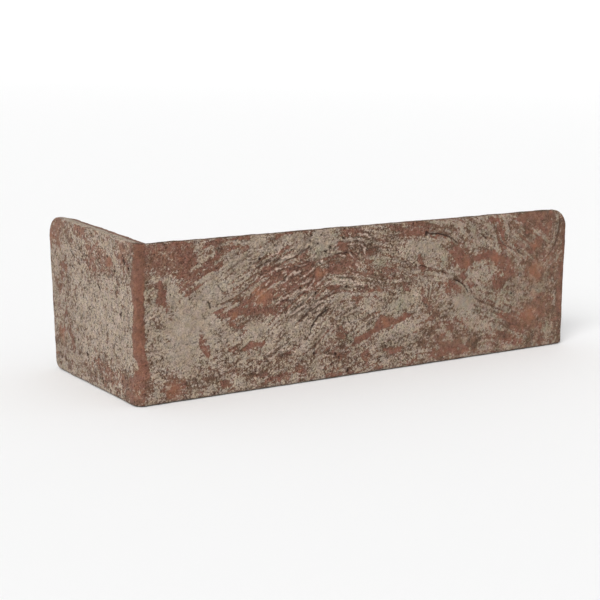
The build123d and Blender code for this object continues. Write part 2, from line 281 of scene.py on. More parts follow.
# R red clay, S smooth red, M mottled red, H mottled orange, O orange, B brown, L lime, C crease in
# the skin (with painted shade in it), F fine pale ridge (with a painted highlight), K crack and P pit
# (with painted shade in both), G greenish wash, W a soft warm glow through the wash
MARKS = [
    # stretcher, from the arris to 60
    ("M", [(13, 60, 3), (22, 57, 4), (21, 52, 3)]), ("M", [(17, 64, 2), (25, 62, 2.4), (24, 57, 3)]),
    ("R", [(23, 60, 1.6), (22.6, 55, 1.8)]), ("R", [(14, 62.6, 1.4)]), ("O", [(15, 64, 1.0), (20, 63.6, 0.9)]), ("B", [(17.4, 60, 1.0)]), ("B", [(15.6, 56.4, 1.1)]), ("B", [(19, 53.6, 1.0)]),
    ("M", [(3, 58, 2.5), (7, 55, 3.0), (12, 55, 2.5)]), ("M", [(4, 62, 2.0), (9, 62, 2.4)]), ("B", [(6.4, 57.4, 1.0)]), ("B", [(10.6, 53.6, 1.2)]), ("B", [(4.6, 51.4, 1.0)]),
    ("L", [(7.5, 52.2, 0.5), (8.5, 50.6, 0.6)]), ("L", [(8, 50.2, 0.5), (12, 50, 0.6), (17, 49.4, 0.7)]),
    ("L", [(11, 52, 0.4)]), ("L", [(13.5, 60.5, 0.8), (14, 59.5, 0.7)]), ("L", [(26.5, 64, 1.2), (28, 61.5, 1.6), (28, 58.6, 0.9)]),
    ("L", [(29.3, 57.6, 0.6)]), ("L", [(7, 60.2, 0.6)]), ("L", [(10.5, 57.6, 0.5)]),
    ("B", [(6, 48, 0.9), (7, 44, 1.0), (5.5, 41.5, 0.7)]), ("L", [(5.4, 45.6, 0.6)]), ("G", [(7, 46, 2.4)]), ("S", [(10.6, 49, 1.4), (11.2, 44.5, 1.6), (12, 40.5, 1.2), (13, 38, 0.6)]),
    ("L", [(15.5, 46, 1.9), (15, 42, 1.8), (18.5, 41, 1.5)]), ("L", [(18.5, 48.5, 0.9)]),
    ("R", [(19, 47.5, 1.3), (22, 46, 2.6), (23, 43.6, 1.2)]), ("R", [(25, 48.5, 2.2), (27.3, 46.5, 1.6), (26.5, 44.5, 1.0)]),
    ("R", [(20, 51.5, 1.6), (27, 51, 2), (33, 52.2, 1.8), (38, 53, 1.0)]), ("R", [(31, 54.6, 1.2), (37, 57.4, 1.4), (42, 60.4, 1.3), (50, 60, 0.8)]),
    ("R", [(30, 62, 1.1), (38, 63.6, 1.0), (50, 64.2, 0.9)]), ("B", [(31, 59.5, 0.8), (36, 61, 0.7)]),
    ("L", [(30, 56.6, 0.5), (36, 59.4, 0.7)]), ("L", [(32, 49.6, 0.7), (38, 51.2, 0.8), (40, 54.6, 0.8)]),
    ("L", [(42, 57, 1.6), (46, 53, 2.2), (47, 49, 1.8)]), ("L", [(51, 61.5, 1.6), (56, 63, 2.2)]), ("L", [(40, 62.2, 0.5), (46, 62.2, 0.6)]),
    ("K", [(36.7, 45.7, 0.45), (38.5, 43, 0.5)]), ("K", [(31.8, 39.5, 0.4), (33, 36.7, 0.55)]),
    ("B", [(8, 38, 0.9), (8.6, 33, 1.2), (9.2, 31.6, 0.8)]), ("B", [(14.4, 37, 1.0), (15, 34, 0.9)]), ("B", [(8, 27, 0.9), (7, 24.5, 0.7)]),
    ("B", [(13, 25.4, 0.9), (15, 26, 0.6)]), ("C", [(6, 22.2, 0.5), (10, 22, 0.5)]), ("C", [(22, 23.2, 0.4), (27, 23.6, 0.4)]),
    ("B", [(5, 29.5, 0.6)]), ("B", [(5.5, 19, 1.0), (6, 15, 1.0)]),
    ("R", [(29.2, 25.0, 1.1), (30.0, 22.4, 1.7), (31, 19.5, 1.5), (31.6, 17.4, 0.9)]), ("M", [(29.4, 26, 1.8), (31, 18.6, 2.2)]), ("B", [(33, 14.6, 0.8), (34, 11.4, 0.8)]),
    ("B", [(36, 16.2, 0.9)]), ("B", [(38.4, 13, 0.9)]), ("B", [(36.4, 11, 0.8)]), ("C", [(38, 25, 0.5), (38.5, 20.4, 0.5)]),
    ("B", [(24, 35.5, 0.5), (26, 33, 0.5)]), ("B", [(26, 38.5, 0.4), (27, 36.8, 0.4)]), ("B", [(23, 42, 0.5), (24, 40.6, 0.5)]),
    ("R", [(36, 35, 0.9), (39, 33.4, 1.3)]), ("M", [(42, 34.6, 1.8), (46, 37, 2.0), (52, 38.2, 2.2)]), ("R", [(40.6, 33.2, 0.8)]), ("B", [(46, 39.4, 0.8), (43.4, 38, 0.7)]), ("O", [(43, 32.6, 1.6), (46, 33, 1.5)]),
    ("R", [(49, 33.6, 1.4), (54, 33.6, 1.3), (59, 32.6, 1.7)]), ("M", [(48, 35, 2.4), (54, 35, 2.4)]), ("R", [(42, 29, 1.5), (44, 28.4, 1.1)]), ("R", [(46, 28, 1.1), (48.4, 25.4, 1.2)]),
    ("W", [(54, 40.8, 1.8), (58, 40, 3.4), (57.5, 37.8, 2.4)]), ("O", [(55, 41.2, 1.0), (58.2, 39.6, 2.3)]), ("B", [(52, 36, 1.0)]), ("B", [(62.6, 37.4, 0.9)]),
    ("L", [(51, 28, 1.4), (55, 25.5, 2.4), (53, 23.4, 1.5)]), ("L", [(40, 24.5, 1.4), (45, 22.6, 1.4)]), ("L", [(36.5, 30, 1.8)]),
    ("S", [(50, 18.6, 0.9), (55, 19.2, 1.2), (57.6, 19.4, 1.2)]), ("R", [(43, 19.4, 1.2), (44.4, 17.8, 0.8)]), ("B", [(48.6, 19.4, 0.6)]),
    ("L", [(50, 14.4, 1.2), (57, 14, 1.4)]), ("B", [(46, 16.5, 0.8)]), ("B", [(52, 12, 0.8), (58, 12.4, 0.7)]),
    ("M", [(14.5, 4, 2.6), (17, 6.4, 3.2), (19.4, 3.0, 2.4)]), ("W", [(16.6, 5.4, 3.0)]), ("L", [(14.4, 6.4, 0.6)]), ("L", [(18.6, 3.6, 0.6)]), ("L", [(16.4, 3.4, 0.5)]), ("R", [(21, 8.6, 1.3), (22, 6, 1.1)]), ("B", [(14, 9.8, 1.1), (18, 9.6, 1.0)]),
    ("L", [(8.6, 7, 1.0), (9, 4, 1.1), (12, 3.4, 0.7)]), ("B", [(4.6, 5.6, 1.4), (6.4, 9.0, 1.2)]), ("R", [(2.0, 4.0, 1.4)]),
    ("B", [(24, 5, 0.9)]), ("B", [(26, 8, 0.7), (27.5, 6.6, 0.7)]), ("B", [(30.4, 8.4, 0.9), (33.6, 8.2, 1.0)]), ("L", [(28, 5.4, 0.9)]), ("L", [(34.6, 4, 1.3)]),
    ("R", [(39.4, 5.2, 1.3), (42, 4.0, 1.0)]), ("B", [(38, 8.4, 0.8)]), ("L", [(46, 4.8, 1.4), (49, 3.0, 1.0)]), ("B", [(43, 9.4, 0.8), (48, 9.6, 0.9)]),
    ("B", [(51, 7.0, 1.2), (56, 6.4, 1.0)]), ("C", [(52, 7.4, 0.5), (58, 6.0, 0.5)]), ("R", [(55, 5.6, 0.8), (61, 7.6, 0.9)]),
    ("L", [(-0.6, 18.4, 0.8), (0.4, 15.4, 0.9), (-0.8, 12.6, 0.6)]), ("L", [(1.6, 20.6, 0.6)]), ("L", [(2.4, 8.6, 0.6)]), ("L", [(0.6, 6.4, 0.7), (1.4, 3.6, 0.6)]), ("B", [(2.6, 13.4, 0.9)]), ("B", [(3.4, 10.4, 1.0)]), ("O", [(3.4, 17.6, 1.2), (4.4, 14.6, 1.0)]),
    # 55 to 115
    ("L", [(58, 57.4, 1.4), (57, 60, 1.0)]), ("L", [(62, 58, 1.4), (66, 58.8, 1.3)]), ("R", [(61, 54.6, 0.7), (66, 56.2, 1.2), (69, 57.8, 1.2)]),
    ("C", [(56, 52, 0.5), (60, 53.2, 0.6), (65, 53.6, 0.5), (70, 53.1, 0.5), (74, 54.2, 0.5), (78, 56.6, 0.6), (80.4, 57.6, 0.6)]),
    ("R", [(75, 53.6, 0.8), (78.5, 55.8, 1.3)]), ("L", [(72, 57.6, 1.0), (77, 58.8, 1.4)]), ("L", [(62, 51.2, 0.5), (70, 51.6, 0.5)]),
    ("P", [(71.5, 57, 0.5)]), ("P", [(74.4, 59, 0.35)]), ("P", [(79.9, 58, 0.6)]), ("P", [(81, 56.8, 0.4)]), ("P", [(81.4, 62, 0.4)]), ("P", [(80.6, 60.4, 0.35)]),
    ("P", [(56.3, 54.6, 0.6)]), ("P", [(76.2, 52.6, 0.35)]), ("P", [(82.6, 59.6, 0.3)]), ("B", [(81, 63.4, 0.9)]),
    ("R", [(64, 63.5, 0.7), (71, 64, 1.1)]), ("B", [(60, 62, 0.6), (68, 60.8, 0.6)]), ("L", [(66, 62, 0.8), (76, 62.2, 1.2)]),
    ("L", [(84, 62, 1.8), (88, 58, 2.2), (86, 54.6, 1.8)]), ("L", [(93, 61, 0.8), (92, 58.4, 0.9)]), ("G", [(86, 55.4, 2.4)]), ("G", [(92.5, 62, 1.6)]), ("P", [(84.4, 58.8, 0.4)]), ("P", [(86, 62.2, 0.35)]), ("P", [(83.8, 54.6, 0.35)]), ("B", [(79.6, 61.4, 0.6)]), ("R", [(76.6, 64, 0.6), (80.6, 64.4, 0.6)]), ("B", [(91.4, 60.6, 0.7), (94, 59.8, 0.6)]),
    ("P", [(91, 56.6, 0.75)]), ("P", [(89, 54.9, 0.45), (88.2, 55.4, 0.3)]), ("K", [(93, 53.6, 0.4), (96.4, 53.5, 0.45), (99.4, 53.9, 0.55)]),
    ("S", [(95.4, 57, 1.5), (98, 56.4, 1.9)]), ("C", [(90, 57.4, 0.4), (95, 58.6, 0.55), (100, 58.9, 0.5)]), ("P", [(97.8, 64, 0.5)]), ("P", [(97.3, 60, 0.45)]),
    ("R", [(97, 62, 1.0), (103, 62.6, 1.0), (108, 62.4, 0.8)]), ("R", [(89, 51.8, 0.8), (95, 52.4, 0.8)]), ("R", [(100, 52.8, 1.4), (104, 51.4, 1.2)]),
    ("C", [(103, 58.8, 0.5), (108, 58, 0.6), (112, 56, 0.6)]), ("L", [(103, 60.4, 0.5), (108, 56.6, 0.5)]),
    ("G", [(112, 51.4, 2)]), ("L", [(112.5, 51.4, 1.3), (114.6, 50.4, 1.0)]), ("R", [(109.6, 49.6, 1.1), (111.6, 49.2, 0.9)]),
    ("R", [(60, 50.6, 0.8), (66, 51, 0.7), (72, 51, 0.6)]), ("R", [(61, 45.4, 1.4), (65, 47.4, 1.9)]), ("O", [(63.8, 46.6, 1.2)]),
    ("R", [(70, 50, 0.8), (76, 50.4, 1.2), (80, 50.6, 1.2)]), ("R", [(72, 46.6, 0.9), (78, 48.4, 1.2), (84, 49.8, 1.0)]),
    ("C", [(70, 45.2, 0.5), (76, 47.1, 0.5), (80.4, 47.9, 0.5)]), ("C", [(70.6, 49.4, 0.4), (80, 51.6, 0.5)]),
    ("O", [(83.6, 44.6, 0.8), (86, 45.6, 1.2), (89, 46.6, 1.0)]), ("W", [(85, 45.2, 1.8), (88, 46.2, 1.8)]), ("R", [(79.4, 41.4, 1.0), (82.6, 43.4, 1.4)]), ("R", [(80.6, 44.6, 1.0), (84.4, 47.6, 1.1)]),
    ("C", [(80.6, 43, 0.4), (84, 46.6, 0.4)]), ("R", [(90, 47.6, 1.1), (98, 46.8, 1.4)]), ("R", [(93, 49.6, 1.0), (103, 48.2, 1.4)]),
    ("R", [(60, 40.6, 1.2), (66, 41.8, 1.1), (73, 43.4, 0.8)]), ("R", [(58, 37.4, 1.6), (62, 37.4, 1.8)]), ("R", [(60.4, 32.6, 1.3), (64, 34, 1.1)]), ("R", [(66, 35.6, 1.0), (69, 36.8, 1.0)]),
    ("B", [(66, 38.6, 0.8), (73, 40.4, 0.8)]), ("R", [(64, 30.6, 1.2), (69, 33.4, 0.9)]), ("P", [(76, 41, 0.5)]), ("P", [(83.6, 38, 0.65)]),
    ("L", [(60.4, 34.8, 0.45), (66, 37.4, 0.5), (73, 40.4, 0.45)]), ("L", [(65, 31.2, 0.5), (71, 35, 0.5), (77, 38.6, 0.5)]), ("L", [(70, 30.6, 0.5), (76, 33.8, 0.6), (82, 38, 0.5)]),
    ("C", [(72, 30.6, 0.5), (76.6, 34.2, 0.5), (80.4, 36.8, 0.5)]), ("C", [(82, 32.8, 0.45), (86, 34.8, 0.5), (90.4, 37.2, 0.5), (96, 39.2, 0.45)]),
    ("C", [(76, 27, 0.6), (80, 30.8, 0.5), (84, 33.8, 0.4)]), ("B", [(77, 28, 0.8)]), ("L", [(81, 31, 0.5), (86, 33.8, 0.5), (91, 35.8, 0.5)]),
    ("S", [(90.4, 39, 1.1), (95, 39.6, 1.4)]), ("L", [(90.4, 44.8, 0.5), (95, 42.8, 0.6), (99.6, 41, 0.5)]), ("L", [(92, 42, 0.5), (96.6, 40.8, 0.4)]), ("G", [(97, 43, 3)]),
    ("P", [(99.6, 39.4, 0.6)]), ("C", [(96, 38.8, 0.4), (101, 37.2, 0.5)]),
    ("K", [(81.4, 22, 0.6), (82.6, 24.8, 0.65), (85.4, 27.6, 0.65), (87.8, 29.2, 0.75), (90.2, 30.9, 0.5)]), ("B", [(87.6, 28.6, 1.3)]),
    ("B", [(92.4, 26, 1.4), (95, 25, 1.0)]), ("B", [(91, 28.6, 0.7), (95, 28.2, 0.6)]), ("B", [(62, 24.6, 0.6)]), ("B", [(66.4, 22.6, 0.6)]),
    ("R", [(95.4, 19.4, 1.0), (98.6, 18, 0.8)]), ("R", [(97, 21.4, 0.8), (100, 20, 0.6)]), ("L", [(101.4, 17, 2.0)]), ("G", [(101.4, 17, 2.6)]),
    ("S", [(103.6, 14, 0.9), (107, 15.4, 1.4), (111, 17, 1.2), (115, 18.6, 1.3)]), ("P", [(83.4, 12.4, 0.5)]), ("C", [(83.4, 12, 0.5), (84, 16, 0.6)]), ("C", [(87, 11, 0.5), (91, 12.4, 0.5)]),
    ("B", [(92, 17, 1.2)]), ("P", [(95, 10.4, 0.6), (94.4, 11.4, 0.4)]), ("B", [(91, 9, 0.8), (97, 9.4, 1.0)]), ("P", [(96.4, 8.8, 0.5)]), ("R", [(97, 8.4, 1.0), (100, 10.4, 1.0)]),
    ("R", [(69.6, 14.4, 0.8), (74, 16.8, 0.8)]), ("B", [(64, 13, 0.8), (70, 12, 0.8)]), ("L", [(63, 19, 1.2), (60, 16.4, 1.2)]),
    ("B", [(55, 6.0, 0.9), (59, 8, 1.0), (63, 9.6, 0.6)]), ("R", [(60, 3.4, 1.1), (67, 3.4, 1.2), (71, 5, 0.8)]), ("R", [(75.6, 6.4, 1.2), (79, 5.4, 1.2)]), ("B", [(78, 8.4, 0.7)]),
    ("L", [(83, 6.4, 1.6), (88, 5, 1.6), (86, 2.6, 1.0)]), ("L", [(77, 13, 1.2), (79, 17, 1.0)]), ("R", [(91, 2.0, 0.8), (98, 1.4, 0.7)]), ("P", [(101.4, 2.4, 0.7)]), ("C", [(99, 4, 0.5), (103.4, 3, 0.5)]),
    ("R", [(100, 1.0, 0.6), (107, 1.4, 0.7)]), ("R", [(109.4, 8.8, 1.6), (111.6, 6.4, 1.4)]), ("R", [(104, 34, 1.2), (107, 36, 1.3), (106, 31, 0.8)]), ("B", [(101, 36, 0.8)]), ("R", [(109.5, 38, 1.0)]),
    ("L", [(103, 25, 1.6)]), ("L", [(95, 32.4, 1.4)]), ("B", [(106, 12, 0.7)]), ("B", [(107, 4.4, 0.9)]),
    # the ridges and creases of the fan
    ("M", [(60, 46, 2.6), (70, 48, 3.6), (80, 49, 3.6)]), ("M", [(62, 40, 2.2), (74, 42, 3.0), (84, 41, 2.6)]), ("M", [(92, 47, 2.6), (102, 47, 3.4)]),
    ("F", [(66, 54.2, 0.3), (70, 54.2, 0.35), (73, 54.7, 0.3)]), ("F", [(58, 51.4, 0.3), (60.4, 52.8, 0.35), (62, 53.7, 0.3)]), ("C", [(55, 51, 0.5), (57.4, 51.2, 0.6), (59.4, 52.1, 0.5)]),
    ("F", [(64, 49.7, 0.4), (67, 50.1, 0.35), (70.4, 50.4, 0.3)]), ("C", [(65.4, 48.7, 0.5), (67.4, 49.3, 0.55), (70, 49.3, 0.5)]), ("F", [(67.6, 47.8, 0.45), (68.8, 48, 0.4)]),
    ("F", [(73.8, 50.3, 0.4), (76, 50.1, 0.4), (78.4, 50.4, 0.3)]), ("C", [(71, 48.9, 0.5), (74, 49, 0.5), (77, 49.5, 0.5), (79.4, 50.1, 0.4)]), ("F", [(72, 47.9, 0.45), (74, 47.6, 0.5), (76.4, 48, 0.35)]),
    ("F", [(66, 43.4, 0.35), (67.2, 44.1, 0.4), (68.8, 44.7, 0.4), (70, 46.2, 0.35), (71.4, 46.9, 0.3)]), ("C", [(65, 42.4, 0.5), (66.2, 44.2, 0.5), (67.8, 44.9, 0.5), (69, 46.4, 0.4)]),
    ("C", [(75.6, 43.9, 0.5), (78, 44.3, 0.6), (80, 45.2, 0.6), (82.2, 46.7, 0.6), (83.4, 47.8, 0.4)]), ("F", [(77.4, 45.6, 0.3), (79.4, 46.2, 0.35), (81, 47.4, 0.4), (83, 49, 0.35)]),
    ("F", [(77, 42.4, 0.35), (79.6, 43.3, 0.4), (81.6, 44.4, 0.35)]), ("C", [(78.2, 41.4, 0.5), (80.4, 42.6, 0.5), (82, 44.4, 0.5)]), ("F", [(79, 40, 0.3), (80.6, 40.8, 0.4), (82, 42.2, 0.4), (83.2, 43.7, 0.35)]),
    ("F", [(76, 39.4, 0.3), (78, 40, 0.35), (80, 39.6, 0.3), (82, 40.6, 0.3)]), ("F", [(70.4, 43.2, 0.4), (72.4, 43.5, 0.35)]), ("F", [(67, 41.2, 0.4), (68.8, 41.3, 0.4)]), ("C", [(71, 44.4, 0.4), (74.4, 44.3, 0.45)]),
    ("F", [(75, 35.7, 0.4), (78, 36.3, 0.35), (82, 36.3, 0.3)]), ("C", [(75, 37.8, 0.45), (77, 38.1, 0.5), (79, 39, 0.4)]), ("C", [(66, 36, 0.45), (68.6, 36.2, 0.45), (70.4, 36.8, 0.4)]), ("F", [(64, 35.2, 0.3), (67, 36.7, 0.35), (70, 38, 0.35), (72.6, 38.2, 0.45)]),
    ("F", [(59, 47.6, 0.3), (61, 48.4, 0.35), (63, 49.4, 0.3)]), ("F", [(56.4, 46.6, 0.35), (58.4, 48, 0.3)]), ("C", [(60, 45.6, 0.45), (62, 47, 0.4)]), ("F", [(72.4, 46, 0.3), (74, 46.9, 0.3), (76.6, 46.6, 0.35)]),
    ("F", [(58.6, 43.6, 0.3), (60.6, 44.8, 0.3)]), ("C", [(58.6, 42.6, 0.4), (61, 42.8, 0.4)]), ("F", [(61.4, 55.6, 0.3), (64.4, 56.3, 0.35), (66, 57.6, 0.3)]), ("F", [(84, 51.4, 0.3), (87.6, 51.2, 0.3)]),
    ("C", [(86, 43, 0.5), (87.6, 44, 0.5)]), ("F", [(85, 41.8, 0.3), (86.6, 43, 0.35), (88.4, 44.4, 0.3)]), ("F", [(92, 44, 0.35), (94.4, 43, 0.4), (97, 42.1, 0.45), (100, 42.1, 0.4), (103.6, 41, 0.4), (106, 40.1, 0.35)]),
    ("C", [(94.6, 43.9, 0.4), (98, 43.2, 0.5), (101, 42.8, 0.45), (104.4, 41.7, 0.4)]), ("F", [(96.4, 44.3, 0.3), (99, 43.9, 0.35)]), ("F", [(94, 41.2, 0.3), (96, 40.5, 0.35), (98.4, 41, 0.3)]),
    ("F", [(103, 39.6, 0.35), (106, 39.5, 0.4), (109.4, 39, 0.35)]), ("C", [(96, 39.5, 0.45), (99.6, 38.8, 0.5), (103.4, 38.9, 0.5), (107, 38.5, 0.4)]), ("F", [(100.4, 53.5, 0.35), (101.8, 52.7, 0.45), (102.8, 51.2, 0.35)]),
    ("C", [(95, 53.9, 0.6), (98.4, 54.5, 0.7), (101, 53.7, 0.6), (103.6, 52.3, 0.6), (105, 51.1, 0.4)]), ("F", [(105, 57.6, 0.35), (107, 56.4, 0.4), (108.4, 55, 0.4), (109, 52.8, 0.4)]), ("C", [(105.6, 56.4, 0.5), (107, 55, 0.5), (107.6, 53, 0.4)]),
    ("C", [(103, 58.1, 0.5), (107, 57.3, 0.55), (109.6, 55.6, 0.5), (110.4, 53.8, 0.4)]), ("F", [(100, 57.1, 0.4), (102, 56.7, 0.4)]), ("C", [(103.6, 60.5, 0.45), (107.6, 59.8, 0.5), (110, 58.2, 0.5)]),
    ("F", [(103, 59.3, 0.4), (107, 58.7, 0.4), (109, 57.5, 0.35)]), ("C", [(105.6, 62.4, 0.45), (109.4, 61.4, 0.5), (112, 60, 0.45)]), ("F", [(105, 61.6, 0.35), (109, 60.7, 0.4), (111.4, 59.2, 0.35)]), ("F", [(107, 63.2, 0.3), (111, 62.2, 0.35)]),
    ("F", [(96, 52.9, 0.45), (98.4, 52.3, 0.5)]), ("C", [(95.4, 50.2, 0.45), (96.8, 48.9, 0.5)]), ("C", [(105, 50.6, 0.45), (107.4, 49.9, 0.5), (109, 48.8, 0.45)]), ("F", [(104, 48.5, 0.35), (106, 47.2, 0.4)]), ("F", [(106.6, 48.6, 0.3), (108.4, 47.4, 0.35)]),
    ("F", [(100.6, 47.9, 0.35), (102, 46.7, 0.4)]), ("C", [(101, 45.9, 0.45), (103, 45.3, 0.5)]), ("F", [(102.6, 45, 0.3), (104.4, 43.8, 0.35), (106, 44.4, 0.3)]), ("C", [(86, 35, 0.45), (90, 36.2, 0.5), (94, 37, 0.55), (97, 36.6, 0.4)]),
    ("F", [(82, 32.5, 0.45), (84.6, 33.5, 0.4), (88, 34.6, 0.4)]), ("F", [(90, 36.9, 0.35), (93.4, 37.8, 0.35)]), ("C", [(80, 37.3, 0.45), (82.4, 38.1, 0.45)]), ("F", [(86, 37.4, 0.35), (89, 38.2, 0.3)]), ("F", [(88.4, 40.6, 0.3), (90.4, 42, 0.35)]),
    ("F", [(72, 30.4, 0.45), (74, 31.2, 0.45), (76.6, 32.7, 0.45), (79, 34, 0.35)]), ("C", [(74, 29.9, 0.5), (76.4, 31.4, 0.6), (79.6, 33.2, 0.6)]), ("F", [(69, 30.2, 0.35), (70.8, 32, 0.4), (71.8, 34, 0.4)]), ("C", [(68.4, 31.6, 0.45), (69.4, 33.8, 0.45)]),
    ("C", [(75.8, 26.8, 0.9), (77.6, 28, 0.9), (79.6, 29.4, 0.6)]), ("F", [(78, 26.8, 0.4), (79.6, 28.6, 0.35)]), ("F", [(82.6, 31.5, 0.35), (85.4, 33, 0.4), (88, 34.5, 0.35)]), ("C", [(82, 30.7, 0.45), (84.6, 32.2, 0.5), (88, 33.9, 0.5)]),
    ("F", [(84, 30.4, 0.35), (86.8, 31.5, 0.4), (89, 33.1, 0.35)]), ("C", [(82, 29.5, 0.4), (86, 30, 0.4), (89, 30.6, 0.4)]), ("F", [(83, 22.2, 0.4), (84.4, 24.6, 0.4)]), ("C", [(85.8, 20, 0.45), (87.6, 20.6, 0.55), (89.2, 21.3, 0.4)]),
    ("C", [(86.6, 12.7, 0.4), (90, 11.5, 0.5), (94.6, 10.4, 0.6)]), ("F", [(88.4, 11.2, 0.35), (91, 10.4, 0.4), (94, 9.6, 0.3)]), ("C", [(60, 13.1, 0.5), (64.6, 15.3, 0.6), (68, 17.1, 0.5)]), ("F", [(60, 14.9, 0.35), (63.6, 16.6, 0.4), (66.4, 17.6, 0.35)]),
    ("C", [(66, 13, 0.7), (69.4, 14, 0.9), (71.6, 12.8, 0.8)]), ("F", [(71.6, 15.2, 0.4), (74, 14, 0.35)]), ("C", [(69.6, 18, 0.45), (72.4, 17.6, 0.5), (75.4, 16.4, 0.45)]), ("F", [(66, 14.6, 0.35), (68, 15.6, 0.35), (70.4, 15.6, 0.3)]),
    ("F", [(61, 12.6, 0.35), (63.4, 13, 0.35)]), ("F", [(59, 29.4, 0.35), (62, 31, 0.35)]), ("F", [(63, 28.4, 0.35), (66.4, 30.6, 0.35)]), ("F", [(86.6, 26.4, 0.35), (88.6, 27, 0.4)]), ("C", [(88, 23, 0.45), (89.8, 22, 0.4)]), ("F", [(90, 24, 0.3), (93.6, 22.8, 0.35)]),
    # 110 to 170
    ("C", [(110.6, 54.8, 0.6), (114.6, 55, 0.7), (117, 53.2, 0.6), (119, 51.2, 0.5)]), ("R", [(110, 53.4, 0.8), (114, 53.6, 0.8)]), ("G", [(117, 48, 4)]), ("L", [(116, 47.4, 1.4), (118.6, 50, 1.0)]),
    ("R", [(111, 44.6, 1.2), (114, 43.4, 0.9)]), ("R", [(120.6, 43, 1.1), (125, 45.2, 1.2)]), ("R", [(127, 43.4, 0.9)]), ("R", [(122, 46.8, 0.8), (118, 44.2, 0.8)]),
    ("C", [(125.4, 48.6, 0.5), (131, 47.1, 0.5)]), ("C", [(120, 49.4, 0.4), (124, 48.9, 0.4)]), ("P", [(124.6, 41.4, 0.4)]), ("B", [(123, 39, 0.8)]), ("B", [(128, 53.6, 0.7), (131, 55.6, 0.7)]), ("B", [(125, 54.6, 0.6)]),
    ("R", [(122, 62.4, 1.2), (128, 61.4, 1.3)]), ("M", [(128, 59.8, 2.0), (135, 60.4, 2.4), (141, 60.6, 2.0)]), ("S", [(131, 59.6, 0.9), (135, 60.2, 1.3), (139, 60.2, 0.9)]), ("R", [(132, 64, 0.9), (141, 63.6, 1.0)]), ("B", [(143, 61.4, 0.7), (155, 60.6, 0.6)]), ("B", [(120, 58, 0.8)]),
    ("L", [(142, 62.6, 0.4), (150, 62, 0.4)]), ("L", [(122, 57.4, 0.6), (127, 57.2, 0.5)]), ("L", [(136, 54.4, 1.4), (142, 53, 1.8), (148, 52.6, 1.6)]), ("L", [(133, 51.6, 0.8)]),
    ("P", [(141.6, 58.8, 0.95)]), ("K", [(141.6, 58.9, 0.7), (146, 58.5, 0.55), (150, 57.9, 0.75), (153, 57.2, 0.6), (156.4, 55.7, 0.5), (160, 53.2, 0.35)]), ("R", [(143.6, 57.6, 0.7), (150, 57.0, 0.8), (153, 56.6, 0.7)]),
    ("R", [(156, 53.6, 0.7), (160, 51, 1.0)]), ("R", [(138.4, 49, 1.2), (139, 46.4, 1.4), (140.4, 42.4, 0.9)]), ("K", [(138.4, 45.2, 0.45), (140.2, 44.6, 0.55), (142.4, 43.8, 0.4)]), ("B", [(143.6, 43, 0.7)]), ("B", [(134, 46, 0.6)]),
    ("R", [(131, 36.6, 1.5), (132, 34.6, 1.0)]), ("R", [(129.4, 38.4, 0.8)]), ("B", [(136, 38, 0.6), (133.6, 39.6, 0.5)]), ("R", [(111.6, 36, 1.0), (117.4, 36.6, 1.1)]), ("B", [(121, 35, 0.8), (124, 33.4, 0.8)]), ("R", [(114, 32.6, 0.9)]),
    ("R", [(118, 34.6, 0.7)]), ("R", [(140.4, 33.8, 1.0), (141.2, 30.8, 1.1), (141.6, 28, 0.8)]), ("R", [(143, 29, 0.7), (144.6, 26.4, 0.9)]), ("B", [(146, 22.6, 1.3), (149.4, 23.2, 1.3)]), ("P", [(150.6, 21.4, 0.4)]),
    ("R", [(112.6, 29.4, 0.8)]), ("R", [(115.4, 26.6, 0.9), (118.6, 27, 0.6)]), ("B", [(119.6, 29, 0.6)]), ("L", [(126, 29, 1.8), (133, 28.4, 1.8)]), ("L", [(130, 32.4, 1.0)]), ("G", [(128, 29, 5)]),
    ("S", [(110, 16.4, 0.9), (115, 18.4, 1.4), (119.4, 21.6, 2.6), (122, 21.8, 2.3), (126.4, 21.2, 1.5), (130, 22.8, 1.6), (134.4, 23.6, 1.0)]), ("B", [(117.4, 23.4, 1.4), (120.6, 24, 1.0)]), ("S", [(131, 23.2, 1.4)]),
    ("L", [(124, 17.6, 1.4), (130, 18.4, 1.8), (136, 17.4, 1.6)]), ("L", [(119, 14.4, 1.4)]), ("S", [(119.4, 10, 0.8), (123.6, 8.6, 1.2), (128.6, 8.8, 1.2)]), ("C", [(119, 11.2, 0.4), (124, 10.8, 0.4)]),
    ("R", [(111.4, 9, 1.3)]), ("R", [(111, 3.6, 1.3)]), ("R", [(116, 2, 0.8), (120, 2, 0.8)]), ("R", [(130, 2, 0.6), (139, 2.4, 0.7)]), ("L", [(124, 5, 0.9), (118, 6.4, 0.8)]), ("L", [(133.4, 11, 1.0)]), ("L", [(134, 6.6, 0.9)]),
    ("B", [(138, 11, 1.1), (142, 9.6, 1.4)]), ("B", [(141, 12.6, 0.9)]), ("O", [(146.6, 3.4, 0.9), (148.4, 3, 0.6)]), ("B", [(151, 7, 1.4), (157, 7.4, 1.2), (166, 5.4, 1.6)]), ("M", [(150, 6, 2.4), (158, 6.4, 3.0), (166, 5.4, 3.0)]), ("B", [(152, 11.6, 1.1), (146, 9, 1.2)]), ("R", [(150, 2.4, 0.9), (156, 5, 1.2)]),
    ("K", [(151, 41.1, 0.4), (152.6, 40.5, 0.6), (154.2, 39.9, 0.4)]), ("L", [(151.4, 45, 1.4), (152.6, 47.4, 1.0)]), ("B", [(154.6, 45.6, 0.7), (154.8, 43, 0.6)]), ("G", [(152, 46, 3)]),
    ("M", [(154.6, 34.2, 2.2), (158, 33.6, 2.4), (160.6, 32.2, 2.0)]), ("R", [(155.6, 35.2, 1.1), (158, 33.8, 1.2)]), ("R", [(155, 32.2, 1.0)]), ("K", [(158, 37.2, 0.4), (160.6, 36.4, 0.55), (163, 34.8, 0.5), (165, 32.8, 0.5), (166.6, 30.4, 0.4)]), ("C", [(167.4, 33, 0.4), (168.6, 30, 0.4)]),
